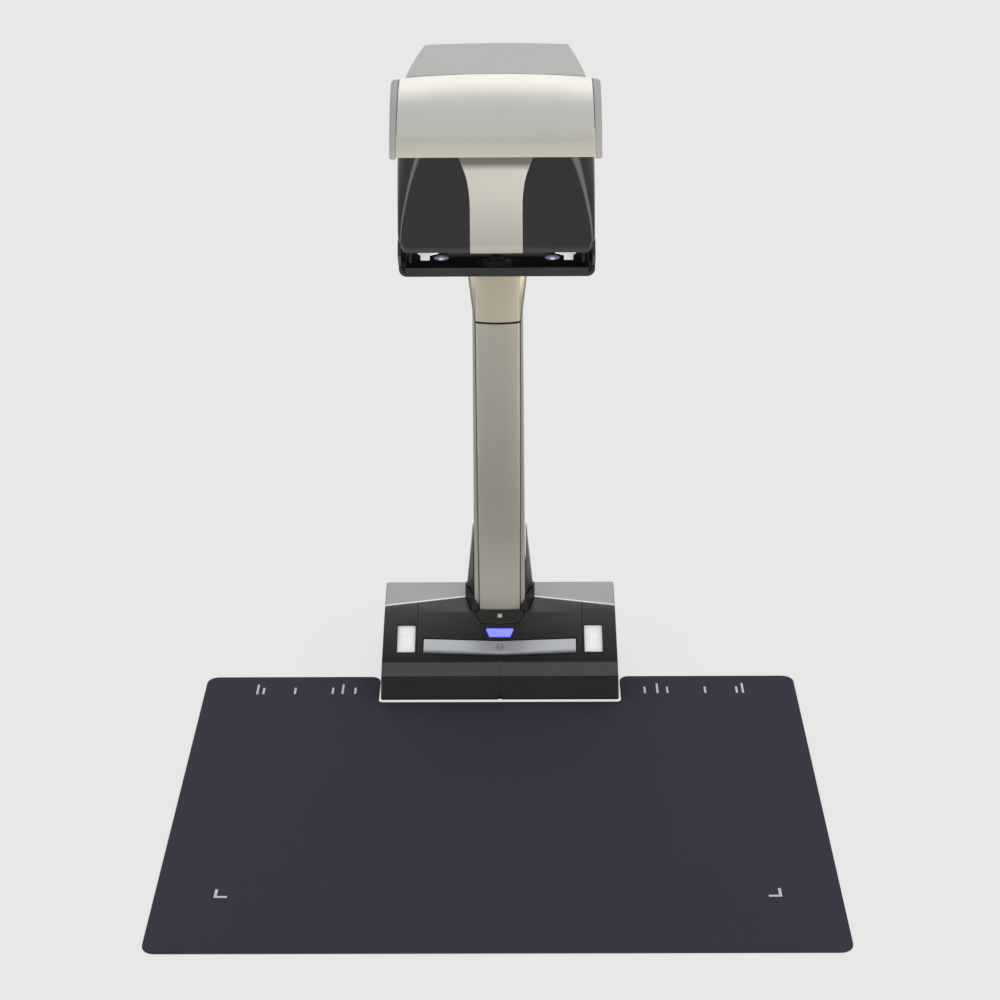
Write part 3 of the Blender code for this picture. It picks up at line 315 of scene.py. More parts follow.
def mat_look(name):
    """Pressed rubber: a fine pebble grain with a slight bloom."""
    made, tree, shader = node_tree(name)
    place = tree.nodes.new("ShaderNodeTexCoord")
    cells = tree.nodes.new("ShaderNodeTexVoronoi")
    cells.feature = "SMOOTH_F1"
    cells.inputs["Scale"].default_value = 1400.0
    tree.links.new(place.outputs["Object"], cells.inputs["Vector"])
    clouds = noise(tree, 9.0, 5.0, 0.6)
    fine = noise(tree, 900.0, 4.0, 0.65)
    dark, light = (0.0265, 0.0245, 0.042), (0.033, 0.031, 0.050)
    tint = mix_colour(tree, remap(tree, clouds, 0.0, 1.0), dark, light)
    tree.links.new(mix_colour(tree, remap(tree, fine, 0.0, 0.6), tint, (0.038, 0.035, 0.055)),
                   shader.inputs["Base Color"])
    tree.links.new(remap(tree, clouds, 0.68, 0.78), shader.inputs["Roughness"])
    bump(tree, shader, (cells.outputs["Distance"], 0.35, 0.05), (fine, 0.2, 0.04))
    shader.inputs["Specular IOR Level"].default_value = 0.12
    return made


def lens_look(name):
    """Coated optical glass: dark, with a purple and green cast at its edges; the green toward the edges is
    a painted reflection, set by the viewing angle.
    """
    made, tree, shader = node_tree(name)
    rim = tree.nodes.new("ShaderNodeLayerWeight")
    rim.inputs["Blend"].default_value = 0.35
    clouds = noise(tree, 90.0)
    # painted reflection: the colour turns green as the surface turns away from the view
    cast = mix_colour(tree, rim.outputs["Facing"], (0.012, 0.010, 0.030), (0.05, 0.11, 0.07))
    tree.links.new(mix_colour(tree, remap(tree, clouds, 0.0, 0.3), cast, (0.06, 0.02, 0.09)),
                   shader.inputs["Base Color"])
    tree.links.new(remap(tree, clouds, 0.03, 0.05), shader.inputs["Roughness"])
    shader.inputs["Coat Weight"].default_value = 1.0
    shader.inputs["Coat Tint"].default_value = (0.75, 0.7, 1.0, 1.0)
    return made


FINE_PAINT = {"clouding": (0.03, 14.0), "grain": (2000.0, 0.004, 0.08), "rough_spread": 0.03}
TUBE_PAINT = {"clouding": (0.03, 12.0), "grain": (2000.0, 0.004, 0.08), "rough_spread": 0.03}
COARSE_PAINT = {"clouding": (0.03, 14.0), "grain": (2200.0, 0.008, 0.2), "rough_spread": 0.04}
FINE_MOULD = {"clouding": (0.1, 30.0), "grain": (2200.0, 0.003, 0.1), "rough_spread": 0.03}

FINISHES = {
    "head_silver": {"colour": (0.59, 0.58, 0.54), "rough": 0.32, "metallic": 0.85, **FINE_PAINT},
    "strip_silver": {"colour": (0.60, 0.585, 0.52), "rough": 0.36, "metallic": 0.50, **FINE_PAINT},
    "side_silver": {"colour": (0.42, 0.415, 0.405), "rough": 0.5, "metallic": 0.15, **COARSE_PAINT},
    # a darker copy of side_silver for the cheeks: painted shade
    "cheek_silver_painted_shade": {"colour": (0.365, 0.36, 0.35), "rough": 0.5, "metallic": 0.15, **COARSE_PAINT},
    "column_silver": {"colour": (0.395, 0.388, 0.35), "rough": 0.40, "metallic": 0.75, **TUBE_PAINT},
    "rear_silver": {"colour": (0.395, 0.388, 0.35), "rough": 0.40, "metallic": 0.75, **TUBE_PAINT},
    "base_silver": {"colour": (0.265, 0.27, 0.262), "rough": 0.34, "metallic": 0.6,
                    "clouding": (0.03, 14.0), "grain": (2600.0, 0.006, 0.18), "rough_spread": 0.03},
    "gloss_black": {"colour": (0.0105, 0.0092, 0.0092), "rough": 0.15, "coat": 0.25, "coat_rough": 0.06,
                    "specular": 0.36, **FINE_MOULD},
    "bezel_black": {"colour": (0.0190, 0.0162, 0.0185), "rough": 0.36, "specular": 0.3, **FINE_MOULD},
    "satin_black": {"colour": (0.010, 0.0095, 0.011), "rough": 0.32, "specular": 0.3,
                    "clouding": (0.12, 30.0), "grain": (2600.0, 0.012, 0.25)},
    "deck_black": {"colour": (0.030, 0.0285, 0.030), "rough": 0.30, "specular": 0.25,
                   "clouding": (0.08, 30.0), "grain": (2200.0, 0.008, 0.2), "rough_spread": 0.04},
    "panel_black": {"colour": (0.030, 0.0285, 0.030), "rough": 0.26, "specular": 0.28,
                    "clouding": (0.08, 30.0), "grain": (2200.0, 0.005, 0.15), "rough_spread": 0.03},
    "stop_black": {"colour": (0.024, 0.022, 0.021), "rough": 0.24, "specular": 0.4,
                   "clouding": (0.08, 30.0), "grain": (2200.0, 0.004, 0.15), "rough_spread": 0.03},
    "inner_black": {"colour": (0.02, 0.02, 0.021), "rough": 0.6, "clouding": (0.15, 40.0),
                    "grain": (1500.0, 0.03, 0.4)},
    "button_metal": {"colour": (0.37, 0.385, 0.41), "rough": 0.34, "metallic": 0.4,
                     "clouding": (0.04, 18.0), "grain": (2600.0, 0.006, 0.18), "rough_spread": 0.03},
    "ink": {"colour": (0.50, 0.50, 0.50), "rough": 0.7, "clouding": (0.10, 240.0),
            "grain": (1500.0, 0.01, 0.3)},
    "print_grey": {"colour": (0.06, 0.065, 0.08), "rough": 0.55, "clouding": (0.10, 120.0),
                   "grain": (1500.0, 0.005, 0.2)},
    "rubber": {"colour": (0.022, 0.022, 0.023), "rough": 0.8, "clouding": (0.2, 60.0),
               "grain": (1300.0, 0.05, 0.5)},
    "cable": {"colour": (0.018, 0.018, 0.020), "rough": 0.55, "clouding": (0.15, 60.0),
              "grain": (900.0, 0.03, 0.4)},
    "nylon": {"colour": (0.62, 0.60, 0.53), "rough": 0.45, "clouding": (0.05, 60.0),
              "grain": (1200.0, 0.02, 0.3)},
    "anodised": {"colour": (0.02, 0.02, 0.022), "rough": 0.32, "metallic": 0.6, "clouding": (0.1, 60.0),
                 "grain": (2200.0, 0.01, 0.3)},
}

LOOKS = {name: finish_look(name, **values) for name, values in FINISHES.items()}
LOOKS.update({
    "brass": brushed("brass", (0.62, 0.45, 0.18), 0.32, "X"),
    "steel": brushed("steel", (0.48, 0.49, 0.51), 0.34, "X"),
    "steel_upright": brushed("steel_upright", (0.50, 0.51, 0.53), 0.36, "Z"),
    "board": circuit_look("board"),
    "mat": mat_look("mat"),
    "lens": lens_look("lens"),
    # the white reference strips are no lamp: their faint emission is painted light
    "white": lit("white", (0.93, 0.93, 0.92), 0.10, 0.6),
    "led": lit("led", (0.16, 0.19, 1.0), 1.0),
    "lamp": lit("lamp", (0.57, 0.58, 0.57), 0.085),
    "glow": glow_look("glow"),
})

# painted light and shade by height: (height in mm, factor or one for each colour), lowest first
PAINTED_LIGHT_BY_HEIGHT = {
    # the hood: painted light, lighter and warmer toward its lower edge, with a darker line at about 507 to
    # 509 mm
    "head_silver": ((494.0, (1.16, 1.10, 0.99)), (498.5, (1.06, 1.04, 0.94)), (504.0, (1.0, 1.0, 0.92)),
                    (507.2, (0.93, 0.935, 0.87)), (508.6, (0.96, 0.96, 0.91)), (512.0, 1.0), (548.0, 1.0)),
    # the centre strip: a painted shadow under the hood at its top, and painted shade, darker toward its
    # lower edge
    "strip_silver": ((412.0, 0.72), (419.0, 0.74), (421.0, 0.66), (430.0, 0.72), (458.0, 0.90),
                     (482.0, 0.94), (488.0, 0.25)),
    # the column and neck faces: painted shade, darker from the foot up to about 130 mm and dark on up the
    # column; painted light, lighter and warmer, on the neck above the seam
    "column_silver": ((60.0, (1.0, 0.99, 0.96)), (130.0, (0.86, 0.85, 0.83)), (250.0, (0.89, 0.88, 0.85)),
                      (331.0, (0.89, 0.87, 0.82)), (333.0, (1.02, 0.96, 0.86))),
    # the rear covers: painted shade, darker from the foot up to about 130 mm; painted light, lighter and
    # warmer, toward the top of the neck
    "rear_silver": ((60.0, 0.95), (130.0, 0.88), (331.0, 0.90), (380.0, (1.06, 1.0, 0.92))),
    # the base's front cover: a painted light band from about 24 to 32 mm high, darker below the band and
    # just above it
    "deck_black": ((0.0, 0.2), (23.4, 0.2), (23.9, 1.9), (32.2, 1.9), (32.7, 0.25), (57.0, 1.0)),
    # the control panel: painted shade, darker toward its lower edge
    "panel_black": ((36.0, 0.35), (57.0, 1.0)),
}
for painted_look_name, painted_light_stops in PAINTED_LIGHT_BY_HEIGHT.items():
    paint_light_by_height(LOOKS[painted_look_name], painted_light_stops)
# a painted highlight along the front edge of the base's silver rear cover
paint_edge_highlight(LOOKS["base_silver"], near=(30.0, 188.0), far=(105.0, 175.8), width=2.2, factor=2.3)

NODE_LOOKS = {
    "base_floor": "inner_black", "ballast_plate": "steel", "main_board": "board", "button_board": "board",
    "head_board": "board", "sensor_board": "board", "column_frame": "steel_upright",
    "head_chassis": "anodised", "drum_shaft": "steel", "shaft_bush": "brass", "motor_pinion": "brass",
    "sweep_gear": "nylon", "sweep_motor": "steel", "signal_cable": "cable", "dc_inlet": "inner_black",
    "usb_socket": "steel",
    "base_screw": "steel", "rubber_foot": "rubber", "scan_drum": "anodised", "lamp_housing": "inner_black",
    "lens_barrel": "anodised", "lens_glass": "lens", "lamp_diffuser": "lamp", "power_led_lens": "led",
    "white_reference": "white", "scan_button": "button_metal", "stop_button": "stop_black",
    "control_panel": "panel_black", "base_front_cover": "deck_black", "base_rear_cover": "base_silver",
    "column_foot_cover": "satin_black", "column_front_cover": "column_silver",
    "column_rear_cover": "rear_silver", "neck_front_cover": "column_silver",
    "neck_rear_cover": "rear_silver", "head_front_cover": "head_silver", "head_top_cover": "side_silver",
    "head_side_cover": "cheek_silver_painted_shade", "head_rear_cover": "side_silver", "head_shell": "gloss_black",
    "head_bezel": "bezel_black", "head_centre_strip": "strip_silver", "head_under_cover": "satin_black",
    "background_mat": "mat",
}


def look_for(node):
    """The look of a node: the entry whose name starts its name."""
    return LOOKS[next(look for start, look in NODE_LOOKS.items() if node.startswith(start))]


def wear(made, look):
    made.data.materials.clear()
    made.data.materials.append(look)


for node_name, node_object in NODES.items():
    wear(node_object, look_for(node_name))


# ---------------------------------------------------------------- shape helpers

def blend(a, b, t):
    return a + (b - a) * t


def link_mesh(name, bm):
    mesh = bpy.data.meshes.new(name)
    bm.to_mesh(mesh)
    bm.free()
    made = bpy.data.objects.new(name, mesh)
    bpy.context.scene.collection.objects.link(made)
    return made


def add_object(name, bm):
    bmesh.ops.recalc_face_normals(bm, faces=bm.faces)
    return link_mesh(name, bm)


def settle(made, sharp):
    """Applies the modifiers and gives the mesh even shading, sharp above an angle in degrees."""
    bpy.context.view_layer.update()
    evaluated = made.evaluated_get(bpy.context.evaluated_depsgraph_get())
    mesh = bpy.data.meshes.new_from_object(evaluated)
    made.modifiers.clear()
    made.data = mesh
    mesh.shade_smooth()
    mesh.set_sharp_from_angle(angle=math.radians(sharp))
    weights = made.modifiers.new("even shading", "WEIGHTED_NORMAL")
    weights.keep_sharp = True
    weights.weight = 80
    return made


def round_edges(made, width, degrees):
    """Rounds the edges that turn by more than some degrees."""
    modifier = made.modifiers.new("edges", "BEVEL")
    modifier.width = width * MM
    modifier.segments = 3
    modifier.limit_method = "ANGLE"
    modifier.angle_limit = math.radians(degrees)
    modifier.use_clamp_overlap = True


def stand_for(made, node):
    """Puts a finished piece in a node's place, with its body and look."""
    wear(made, look_for(node))
    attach(made, BODY_OF[node])
    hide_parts(node)


def add_detail(made, node, look):
    """Puts a small printed or fitted piece on a node's body."""
    wear(made, LOOKS[look])
    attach(made, BODY_OF[node])


def refine(node, edge):
    """A cleaned copy of a node's own solid with rounded edges."""
    bm = bmesh.new()
    bm.from_mesh(NODES[node].data)
    bmesh.ops.remove_doubles(bm, verts=bm.verts, dist=0.000004)
    bmesh.ops.dissolve_limit(bm, angle_limit=math.radians(0.6), verts=bm.verts, edges=bm.edges)
    made = add_object(node + "_finished", bm)
    round_edges(made, edge, 28.0)
    stand_for(settle(made, 40.0), node)


def shell(name, rows, thickness, edge, even=True):
    """A thickened surface over a grid of points, with its rim rounded."""
    bm = bmesh.new()
    verts = [[bm.verts.new(Vector(point) * MM) for point in row] for row in rows]
    for lower, upper in zip(verts, verts[1:]):
        for i in range(len(lower) - 1):
            bm.faces.new((lower[i], lower[i + 1], upper[i + 1], upper[i]))
    made = link_mesh(name, bm)
    solid = made.modifiers.new("thickness", "SOLIDIFY")
    solid.thickness = thickness * MM
    solid.offset = -1.0
    solid.use_even_offset = even
    round_edges(made, edge, 50.0)
    return settle(made, 45.0)


def spaced(low, high, count):
    return [blend(low, high, i / (count - 1)) for i in range(count)]


def rise_through(value, low, high):
    """0 up to the low value, 1 from the high one on."""
    return min(1.0, max(0.0, (value - low) / (high - low)))


def arc_points(centre, radius, start, end, steps):
    turns = [math.radians(blend(start, end, i / steps)) for i in range(steps + 1)]
    return [(centre[0] + radius * math.cos(a), centre[1] + radius * math.sin(a)) for a in turns]


# ---------------------------------------------------------------- head

def cover_arc(steps, set_back=0.0):
    """The front cover's side profile: one arc that bulges forward and up, or a line set back behind it."""
    chord = COVER_TOP - COVER_BOTTOM
    radius = chord.length / 2 / math.sin(COVER_BEND)
    inward = Vector((chord.y, -chord.x)).normalized()
    centre = (COVER_BOTTOM + COVER_TOP) / 2 + inward * radius * math.cos(COVER_BEND)
    first = math.atan2(COVER_BOTTOM.y - centre.y, COVER_BOTTOM.x - centre.x) % (2 * math.pi)
    turns = [first - 2 * COVER_BEND * i / steps for i in range(steps + 1)]
    reach = radius - set_back
    return [(centre.x + reach * math.cos(a), centre.y + reach * math.sin(a)) for a in turns]


def build_front_cover():
    steps = 36
    rows = []
    for i, (y, z) in enumerate(cover_arc(steps)):
        half = blend(COVER_HALF_BOTTOM, COVER_HALF_TOP, i / steps)
        crown = COVER_CROWN * (i / steps) ** 1.5
        rows.append([(half * t, y, z + crown * (1.0 - t * t)) for t in spaced(-1.0, 1.0, 33)])
    stand_for(shell("head_hood", rows, 2.0, 0.6), "head_front_cover")


def depth_share(y):
    return rise_through(y, ROOF_FRONT, HEAD_REAR)


def roof_half(y):
    return blend(*ROOF_HALF, depth_share(y) ** 1.15)


def shoulder_height(y):
    return SHOULDER_Z - SHOULDER_SLOPE * (y - COVER_TOP.x)


def side_half(y):
    return HEAD_HALF_WIDTH - HEAD_TAPER * depth_share(y) ** 1.5


ROOF_LIP = ((0.9, 0.25), (1.6, 0.9), (2.1, 1.9), (2.4, 3.0), (2.6, 4.2))      # (back, drop)
ROOF_LIP_LOW = 516.5          # the lip has no drop at this height, and its full drop at the next
ROOF_LIP_HIGH = 536.5


def build_roof():
    """A crowned top whose rounded edges run down into a skirt on each side."""
    rows = []
    for y in spaced(ROOF_FRONT - 0.6, HEAD_REAR, 25):
        u = depth_share(y)
        swell = 1.0 - (1.0 - u) ** 2
        edge, crest, half = blend(*ROOF_EDGE, swell), blend(*ROOF_CREST, swell), roof_half(y)
        top = [(half * t, y, blend(crest, edge, t * t)) for t in spaced(-1.0, 1.0, 27)]
        skirt_z = shoulder_height(y) + 0.4
        lean = min(1.6, 0.25 * (edge - skirt_z))
        skirt = [(half + lean * t, y, blend(edge, skirt_z, t)) for t in (1.0, 0.75, 0.5, 0.25)]
        rows.append([(-x, y, z) for x, y, z in skirt] + top + list(reversed(skirt)))
    last = rows[-1]
    share = [rise_through(z, ROOF_LIP_LOW, ROOF_LIP_HIGH) for _, _, z in last]
    for back, drop in ROOF_LIP:
        rows.append([(x, y + back, z - drop * fall) for (x, y, z), fall in zip(last, share)])
    stand_for(shell("head_roof", rows, 1.6, 0.8), "head_top_cover")


CHEEK_REAR = 256.0
CHEEK_FOOT_FRONT = 115.5
CHEEK_SET_BACK = 1.6          # how far the cheek's edge lies behind the hood's surface
# the rounded outer edge: how far each of its lines drops, and how far all but the first lie inside the side
CHEEK_DROPS = (0.0, 0.15, 0.7, 1.5, 2.7, 4.2)
CHEEK_INSETS = (3.4, 2.0, 1.0, 0.3, 0.0)


def build_cheek(label, side):
    """A strip beside the hood, a shoulder beside the roof, and a side wall below them."""
    steps = 40
    lines = []
    for drop in CHEEK_DROPS:
        arc = cover_arc(steps, CHEEK_SET_BACK + drop)
        start = (arc[0][0] - 0.4, SIDE_COVER_BOTTOM)
        back = [(y, shoulder_height(y) - drop) for y in [165.8, 168.0] + spaced(176.0, CHEEK_REAR, 12)]
        lines.append([start] + arc + back)
    first_y = lines[-1][0][0]
    rows = []
    for j, ring in enumerate(zip(*lines)):
        y_in, z_in = ring[0]
        strip_edge = blend(COVER_HALF_BOTTOM, COVER_HALF_TOP, min(1.0, max(0, j - 1) / steps)) + 0.5
        inner_x = strip_edge if y_in < 167.0 else roof_half(y_in) - 0.2
        edge_y, edge_z = ring[-1]
        outer_x = side_half(edge_y)
        floor_z = SIDE_COVER_BOTTOM + 0.3 * min(j, 5)
        row = [(inner_x, y_in, max(floor_z, z_in))]
        row += [(outer_x - inset, y, max(floor_z, z)) for inset, (y, z) in zip(CHEEK_INSETS, ring[1:])]
        edge_z = max(floor_z, edge_z)
        foot_y = blend(CHEEK_FOOT_FRONT, CHEEK_REAR, (edge_y - first_y) / (CHEEK_REAR - first_y))
        for t in spaced(0.0, 1.0, 9)[1:]:
            y = blend(edge_y, foot_y, t)
            row.append((side_half(y), y, blend(edge_z, SIDE_COVER_BOTTOM, t)))
        row = [(side * x, y, z) for x, y, z in row]
        rows.append(row if side > 0 else list(reversed(row)))
    stand_for(shell("head_cheek_" + label, rows, 2.0, 0.4, even=False), "head_side_cover_" + label)


def shell_front(z):
    return blend(*SHELL_FRONT, (z - LIP_Z) / (SHELL_TOP - LIP_Z))


def lip_tuck(rise):
    """How far the lower edge tucks in, at a height above its bottom."""
    return LIP_TUCK * max(0.0, 1.0 - rise / LIP_HEIGHT) ** 1.3


FACE_TURN = 73.0              # the lower edge starts to rise this far from the middle


def build_face():
    """The glossy face; its lower edge rises round both corners and tucks in."""
    heights = [0.0, 0.012, 0.03, 0.05, 0.064, 0.074, 0.085] + spaced(0.12, 1.0, 20)
    rows = []
    for v in heights:
        half = SHELL_HALF_WIDTH - 0.5 * v
        radius = blend(*SHELL_RADIUS, v ** 1.9)
        front = blend(*SHELL_FRONT, v)
        flat = half - radius
        right = [(half, y) for y in spaced(SHELL_SIDE_REAR, 145.0, 6)]
        right += arc_points((flat, front + radius), radius, 0.0, -90.0, 16)
        right += [(flat * t, front) for t in (0.985, 0.97, 0.95, 0.9, 0.8, 0.65, 0.5, 0.35, 0.2, 0.1)]
        path = [(-x, y) for x, y in right] + [(0.0, front)] + list(reversed(right))
        row = []
        for x, y in path:
            turn = rise_through(abs(x), FACE_TURN, FACE_TURN + 6.0)
            bottom = blend(LIP_Z, SHELL_SIDE_Z, turn ** 2)
            z = blend(bottom, SHELL_TOP, v)
            inward = Vector((x - math.copysign(min(abs(x), flat), x), min(0.0, y - front - radius)))
            shift = inward.normalized() * lip_tuck(z - bottom)
            row.append((x - shift.x, y - shift.y, z))
        rows.append(row)
    stand_for(shell("head_face", rows, 1.6, 0.5), "head_shell")


STRIP_STANDOFF = 1.7
# (height, half width) of the centre strip
STRIP_EDGE = ((413.0, 21.3), (430.0, 21.2), (457.0, 21.2), (464.0, 21.8), (471.0, 22.7),
              (477.5, 24.1), (484.0, 26.3), (490.0, 28.6), (496.0, 31.0))


def strip_half(z):
    """Half width of the centre strip, read from a smooth curve through its edge points."""
    for i in range(len(STRIP_EDGE) - 1):
        (z0, h0), (z1, h1) = STRIP_EDGE[i], STRIP_EDGE[i + 1]
        if z <= z1:
            before = STRIP_EDGE[max(0, i - 1)]
            after = STRIP_EDGE[min(len(STRIP_EDGE) - 1, i + 2)]
            slope0 = (h1 - before[1]) / (z1 - before[0]) * (z1 - z0)
            slope1 = (after[1] - h0) / (after[0] - z0) * (z1 - z0)
            t = (z - z0) / (z1 - z0)
            return (h0 * (2 * t ** 3 - 3 * t ** 2 + 1) + slope0 * (t ** 3 - 2 * t ** 2 + t)
                    + h1 * (3 * t ** 2 - 2 * t ** 3) + slope1 * (t ** 3 - t ** 2))
    return STRIP_EDGE[-1][1]


def build_strip():
    rows = []
    for z in [413.0, 414.2, 415.6, 417.0, 418.2, 419.2, 420.4] + spaced(423.0, 496.0, 36):
        front = shell_front(z) - STRIP_STANDOFF + lip_tuck(z - STRIP_EDGE[0][0])
        half = strip_half(z)
        rows.append([(half * t, front - 0.25 * (1.0 - t * t), z) for t in spaced(-1.0, 1.0, 13)])
    stand_for(shell("head_strip", rows, 1.3, 0.45), "head_centre_strip")


BACK_BOW = 0.9
# (height, half width, depth, crown) of the rear cover, lowest first
BACK_LEVELS = ((386.0, 78.6, 218.2, 0.0), (400.0, 78.6, 223.2, 0.0), (440.0, 78.6, 240.0, 0.0),
               (487.0, 78.6, 257.6, 0.0), (505.0, 77.4, 259.4, 0.0), (514.3, 76.5, 259.5, 0.0),
               (514.9, 59.0, 259.6, 0.0), (543.5, 57.8, 259.6, 1.2))


def build_back():
    rows = []
    for z, half, y, crown in BACK_LEVELS:
        rows.append([(half * t, y + BACK_BOW * (1.0 - t * t), z + crown * (1.0 - t * t))
                     for t in spaced(1.0, -1.0, 17)])
    stand_for(shell("head_back", rows, 1.8, 0.5), "head_rear_cover")


# ---------------------------------------------------------------- column and neck

def build_channel(name, node, low, high, bottom_sag, top_sag):
    """The front face of the column or neck: slightly hollow, with rolled edges and splayed sides."""
    bow, depth, roll = 0.8, 2.9, 1.0
    count = max(13, round((high - low) / 5))
    rows = []
    for i, z in enumerate(spaced(low, high, count)):
        half = blend(FACE_HALF_BOTTOM, FACE_HALF_TOP, rise_through(z, COLUMN_FOOT_Z, SEAM_Z))
        spread = 0.3 + NECK_FACET * rise_through(z, SEAM_Z, NECK_TOP)
        right = [(half + spread, COLUMN_FRONT + depth), (half + 0.55 * spread, COLUMN_FRONT + 1.9)]
        right += arc_points((half - roll, COLUMN_FRONT + roll), roll, 0.0, -90.0, 6)
        right += [(half * t, COLUMN_FRONT - bow * (1.0 - t * t)) for t in (0.85, 0.7, 0.5, 0.25)]
        path = [(-x, y) for x, y in right] + [(0.0, COLUMN_FRONT - bow)] + list(reversed(right))
        sag = bottom_sag if i == 0 else top_sag if i == count - 1 else 0.0
        rows.append([(x, y, z - sag * max(0.0, 1.0 - (x / half) ** 2)) for x, y in path])
    stand_for(shell(name, rows, 1.6, 0.35), node)


# ---------------------------------------------------------------- mat and its marks

def flat_marks(name, outlines, height, rise):
    """Thin printed shapes: each outline becomes a closed film a few hundredths of a millimetre thick."""
    bm = bmesh.new()
    for outline in outlines:
        low = [bm.verts.new(Vector((x, y, height)) * MM) for x, y in outline]
        high = [bm.verts.new(Vector((x, y, height + rise)) * MM) for x, y in outline]
        bm.faces.new(low)
        bm.faces.new(high)
        for i in range(len(low)):
            j = (i + 1) % len(low)
            bm.faces.new((low[i], low[j], high[j], high[i]))
    return add_object(name, bm)


def bar(x0, y0, x1, y1):
    return [(x0, y0), (x1, y0), (x1, y1), (x0, y1)]


MARK_LINE = 2.3               # line width, outer and inner ends of the corner marks
MARK_OUTER = (216.5, -192.3)
MARK_INNER = (206.3, -181.2)
TICK_HALF = 0.95
TICK_START = 118.0
# (distance from the middle, length) of the size ticks
TICKS = ((215.4, 17.0), (210.0, 11.0), (182.0, 11.0), (148.5, 11.0), (139.7, 17.0), (128.5, 11.0))


def build_marks():
    """A corner mark and a row of size ticks at each side of the mat."""
    outlines = []
    for side in (-1, 1):
        outer_x, front = side * MARK_OUTER[0], MARK_OUTER[1]
        inner_x, top = side * MARK_INNER[0], MARK_INNER[1]
        outlines.append([(outer_x, front), (inner_x, front), (inner_x, front + MARK_LINE),
                         (outer_x - side * MARK_LINE, front + MARK_LINE),
                         (outer_x - side * MARK_LINE, top), (outer_x, top)])
        for x, length in TICKS:
            outlines.append(bar(side * x - TICK_HALF, TICK_START,
                                side * x + TICK_HALF, TICK_START + length))
    add_detail(flat_marks("mat_marks", outlines, MAT_TOP, 0.06), "background_mat", "ink")


def deck_frame(v, w, tilt=0.0):
    """A frame on the sloping deck: v up the slope from its crease, w off it, tilted forward in degrees."""
    slope = math.atan(DECK_SLOPE)
    y = DECK_CREASE.x + v * math.cos(slope) - w * math.sin(slope)
    z = DECK_CREASE.y + v * math.sin(slope) + w * math.cos(slope)
    turn = Matrix.Rotation(slope - math.radians(tilt), 4, "X")
    return Matrix.Translation(Vector((0.0, y, z)) * MM) @ turn


SYMBOL_FILM = 0.05
STOP_SYMBOL = (-4.6, 0.51, 0.0)       # place on the deck, height off it, and forward tilt
SCAN_SYMBOL = (-38.8, 1.16, 10.5)


def build_symbols():
    """A plain square on the small button, and a sheet with a line across it on the wide one."""
    square = flat_marks("stop_symbol", [bar(-1.9, -1.9, 1.9, 1.9)], 0.0, SYMBOL_FILM)
    square.matrix_world = deck_frame(*STOP_SYMBOL)
    add_detail(square, "stop_button", "ink")
    page = [bar(-2.6, -2.9, -2.15, 2.9), bar(2.15, -2.9, 2.6, 2.9), bar(-2.14, 2.45, 2.14, 2.9),
            bar(-2.14, -2.9, 2.14, -2.45), bar(-4.6, -0.25, -2.61, 0.25), bar(2.61, -0.25, 4.6, 0.25),
            bar(-2.14, -0.25, 2.14, 0.25)]
    sheet = flat_marks("scan_symbol", page, 0.0, SYMBOL_FILM)
    sheet.matrix_world = deck_frame(*SCAN_SYMBOL)
    add_detail(sheet, "scan_button", "print_grey")


DOME_SIZE = (6.4, 1.3, 2.4)
DOME_PLACE = (45.5, 141.2, 399.8)
SPILL_PLACE = (46.0, 136.5, 396.0)


def mirrored(place, side):
    return Vector((side * place[0], *place[1:])) * MM


def build_lamp_domes():
    """The small domes beside the lamp windows, and the light they throw into the tray."""
    for side, label in ((-1, "left"), (1, "right")):
        bm = bmesh.new()
        bmesh.ops.create_uvsphere(bm, u_segments=40, v_segments=20, radius=MM)
        bmesh.ops.scale(bm, vec=DOME_SIZE, verts=bm.verts)
        dome = add_object("lamp_dome_" + label, bm)
        dome.data.shade_smooth()
        dome.location = mirrored(DOME_PLACE, side)
        add_detail(dome, "lamp_diffuser_" + label, "glow")
        data = bpy.data.lights.new("lamp_spill_" + label, "POINT")
        data.energy = 0.005
        data.color = (0.72, 0.74, 1.0)
        data.shadow_soft_size = 3.0 * MM
        spill = bpy.data.objects.new("lamp_spill_" + label, data)
        bpy.context.scene.collection.objects.link(spill)
        spill.location = mirrored(SPILL_PLACE, side)


# ---------------------------------------------------------------- build every piece

build_front_cover()
build_roof()
build_cheek("left", -1)
build_cheek("right", 1)
build_face()
build_strip()
build_back()
build_channel("column_face", "column_front_cover", FACE_FOOT_Z, SEAM_Z, 0.0, SEAM_SAG)
build_channel("neck_face", "neck_front_cover", SEAM_Z + SEAM_GAP, NECK_TOP, SEAM_SAG, 0.0)
REFINED_EDGES = {
    "column_rear_cover": 0.9, "neck_rear_cover": 0.9, "head_bezel": 0.5, "head_under_cover": 1.2,
    "column_foot_cover": 0.9, "base_front_cover": 0.7, "base_rear_cover": 1.4, "control_panel": 0.35,
    "scan_button": 0.5, "stop_button": 0.4, "power_led_lens": 0.3, "white_reference_left": 0.25,
    "white_reference_right": 0.25, "background_mat": 0.6, "scan_drum": 0.5, "lens_barrel": 0.4,
    "lamp_housing_left": 0.5, "lamp_housing_right": 0.5, "lamp_diffuser_left": 0.4,
    "lamp_diffuser_right": 0.4, "base_floor": 0.6, "rubber_foot_front_left": 0.4,
    "rubber_foot_front_right": 0.4, "rubber_foot_rear_left": 0.4, "rubber_foot_rear_right": 0.4,
}
for refined, edge_width in REFINED_EDGES.items():
    refine(refined, edge_width)
build_marks()
build_symbols()
build_lamp_domes()


# ---------------------------------------------------------------- floor, lights and camera

FLOOR_GLOW = 0.707


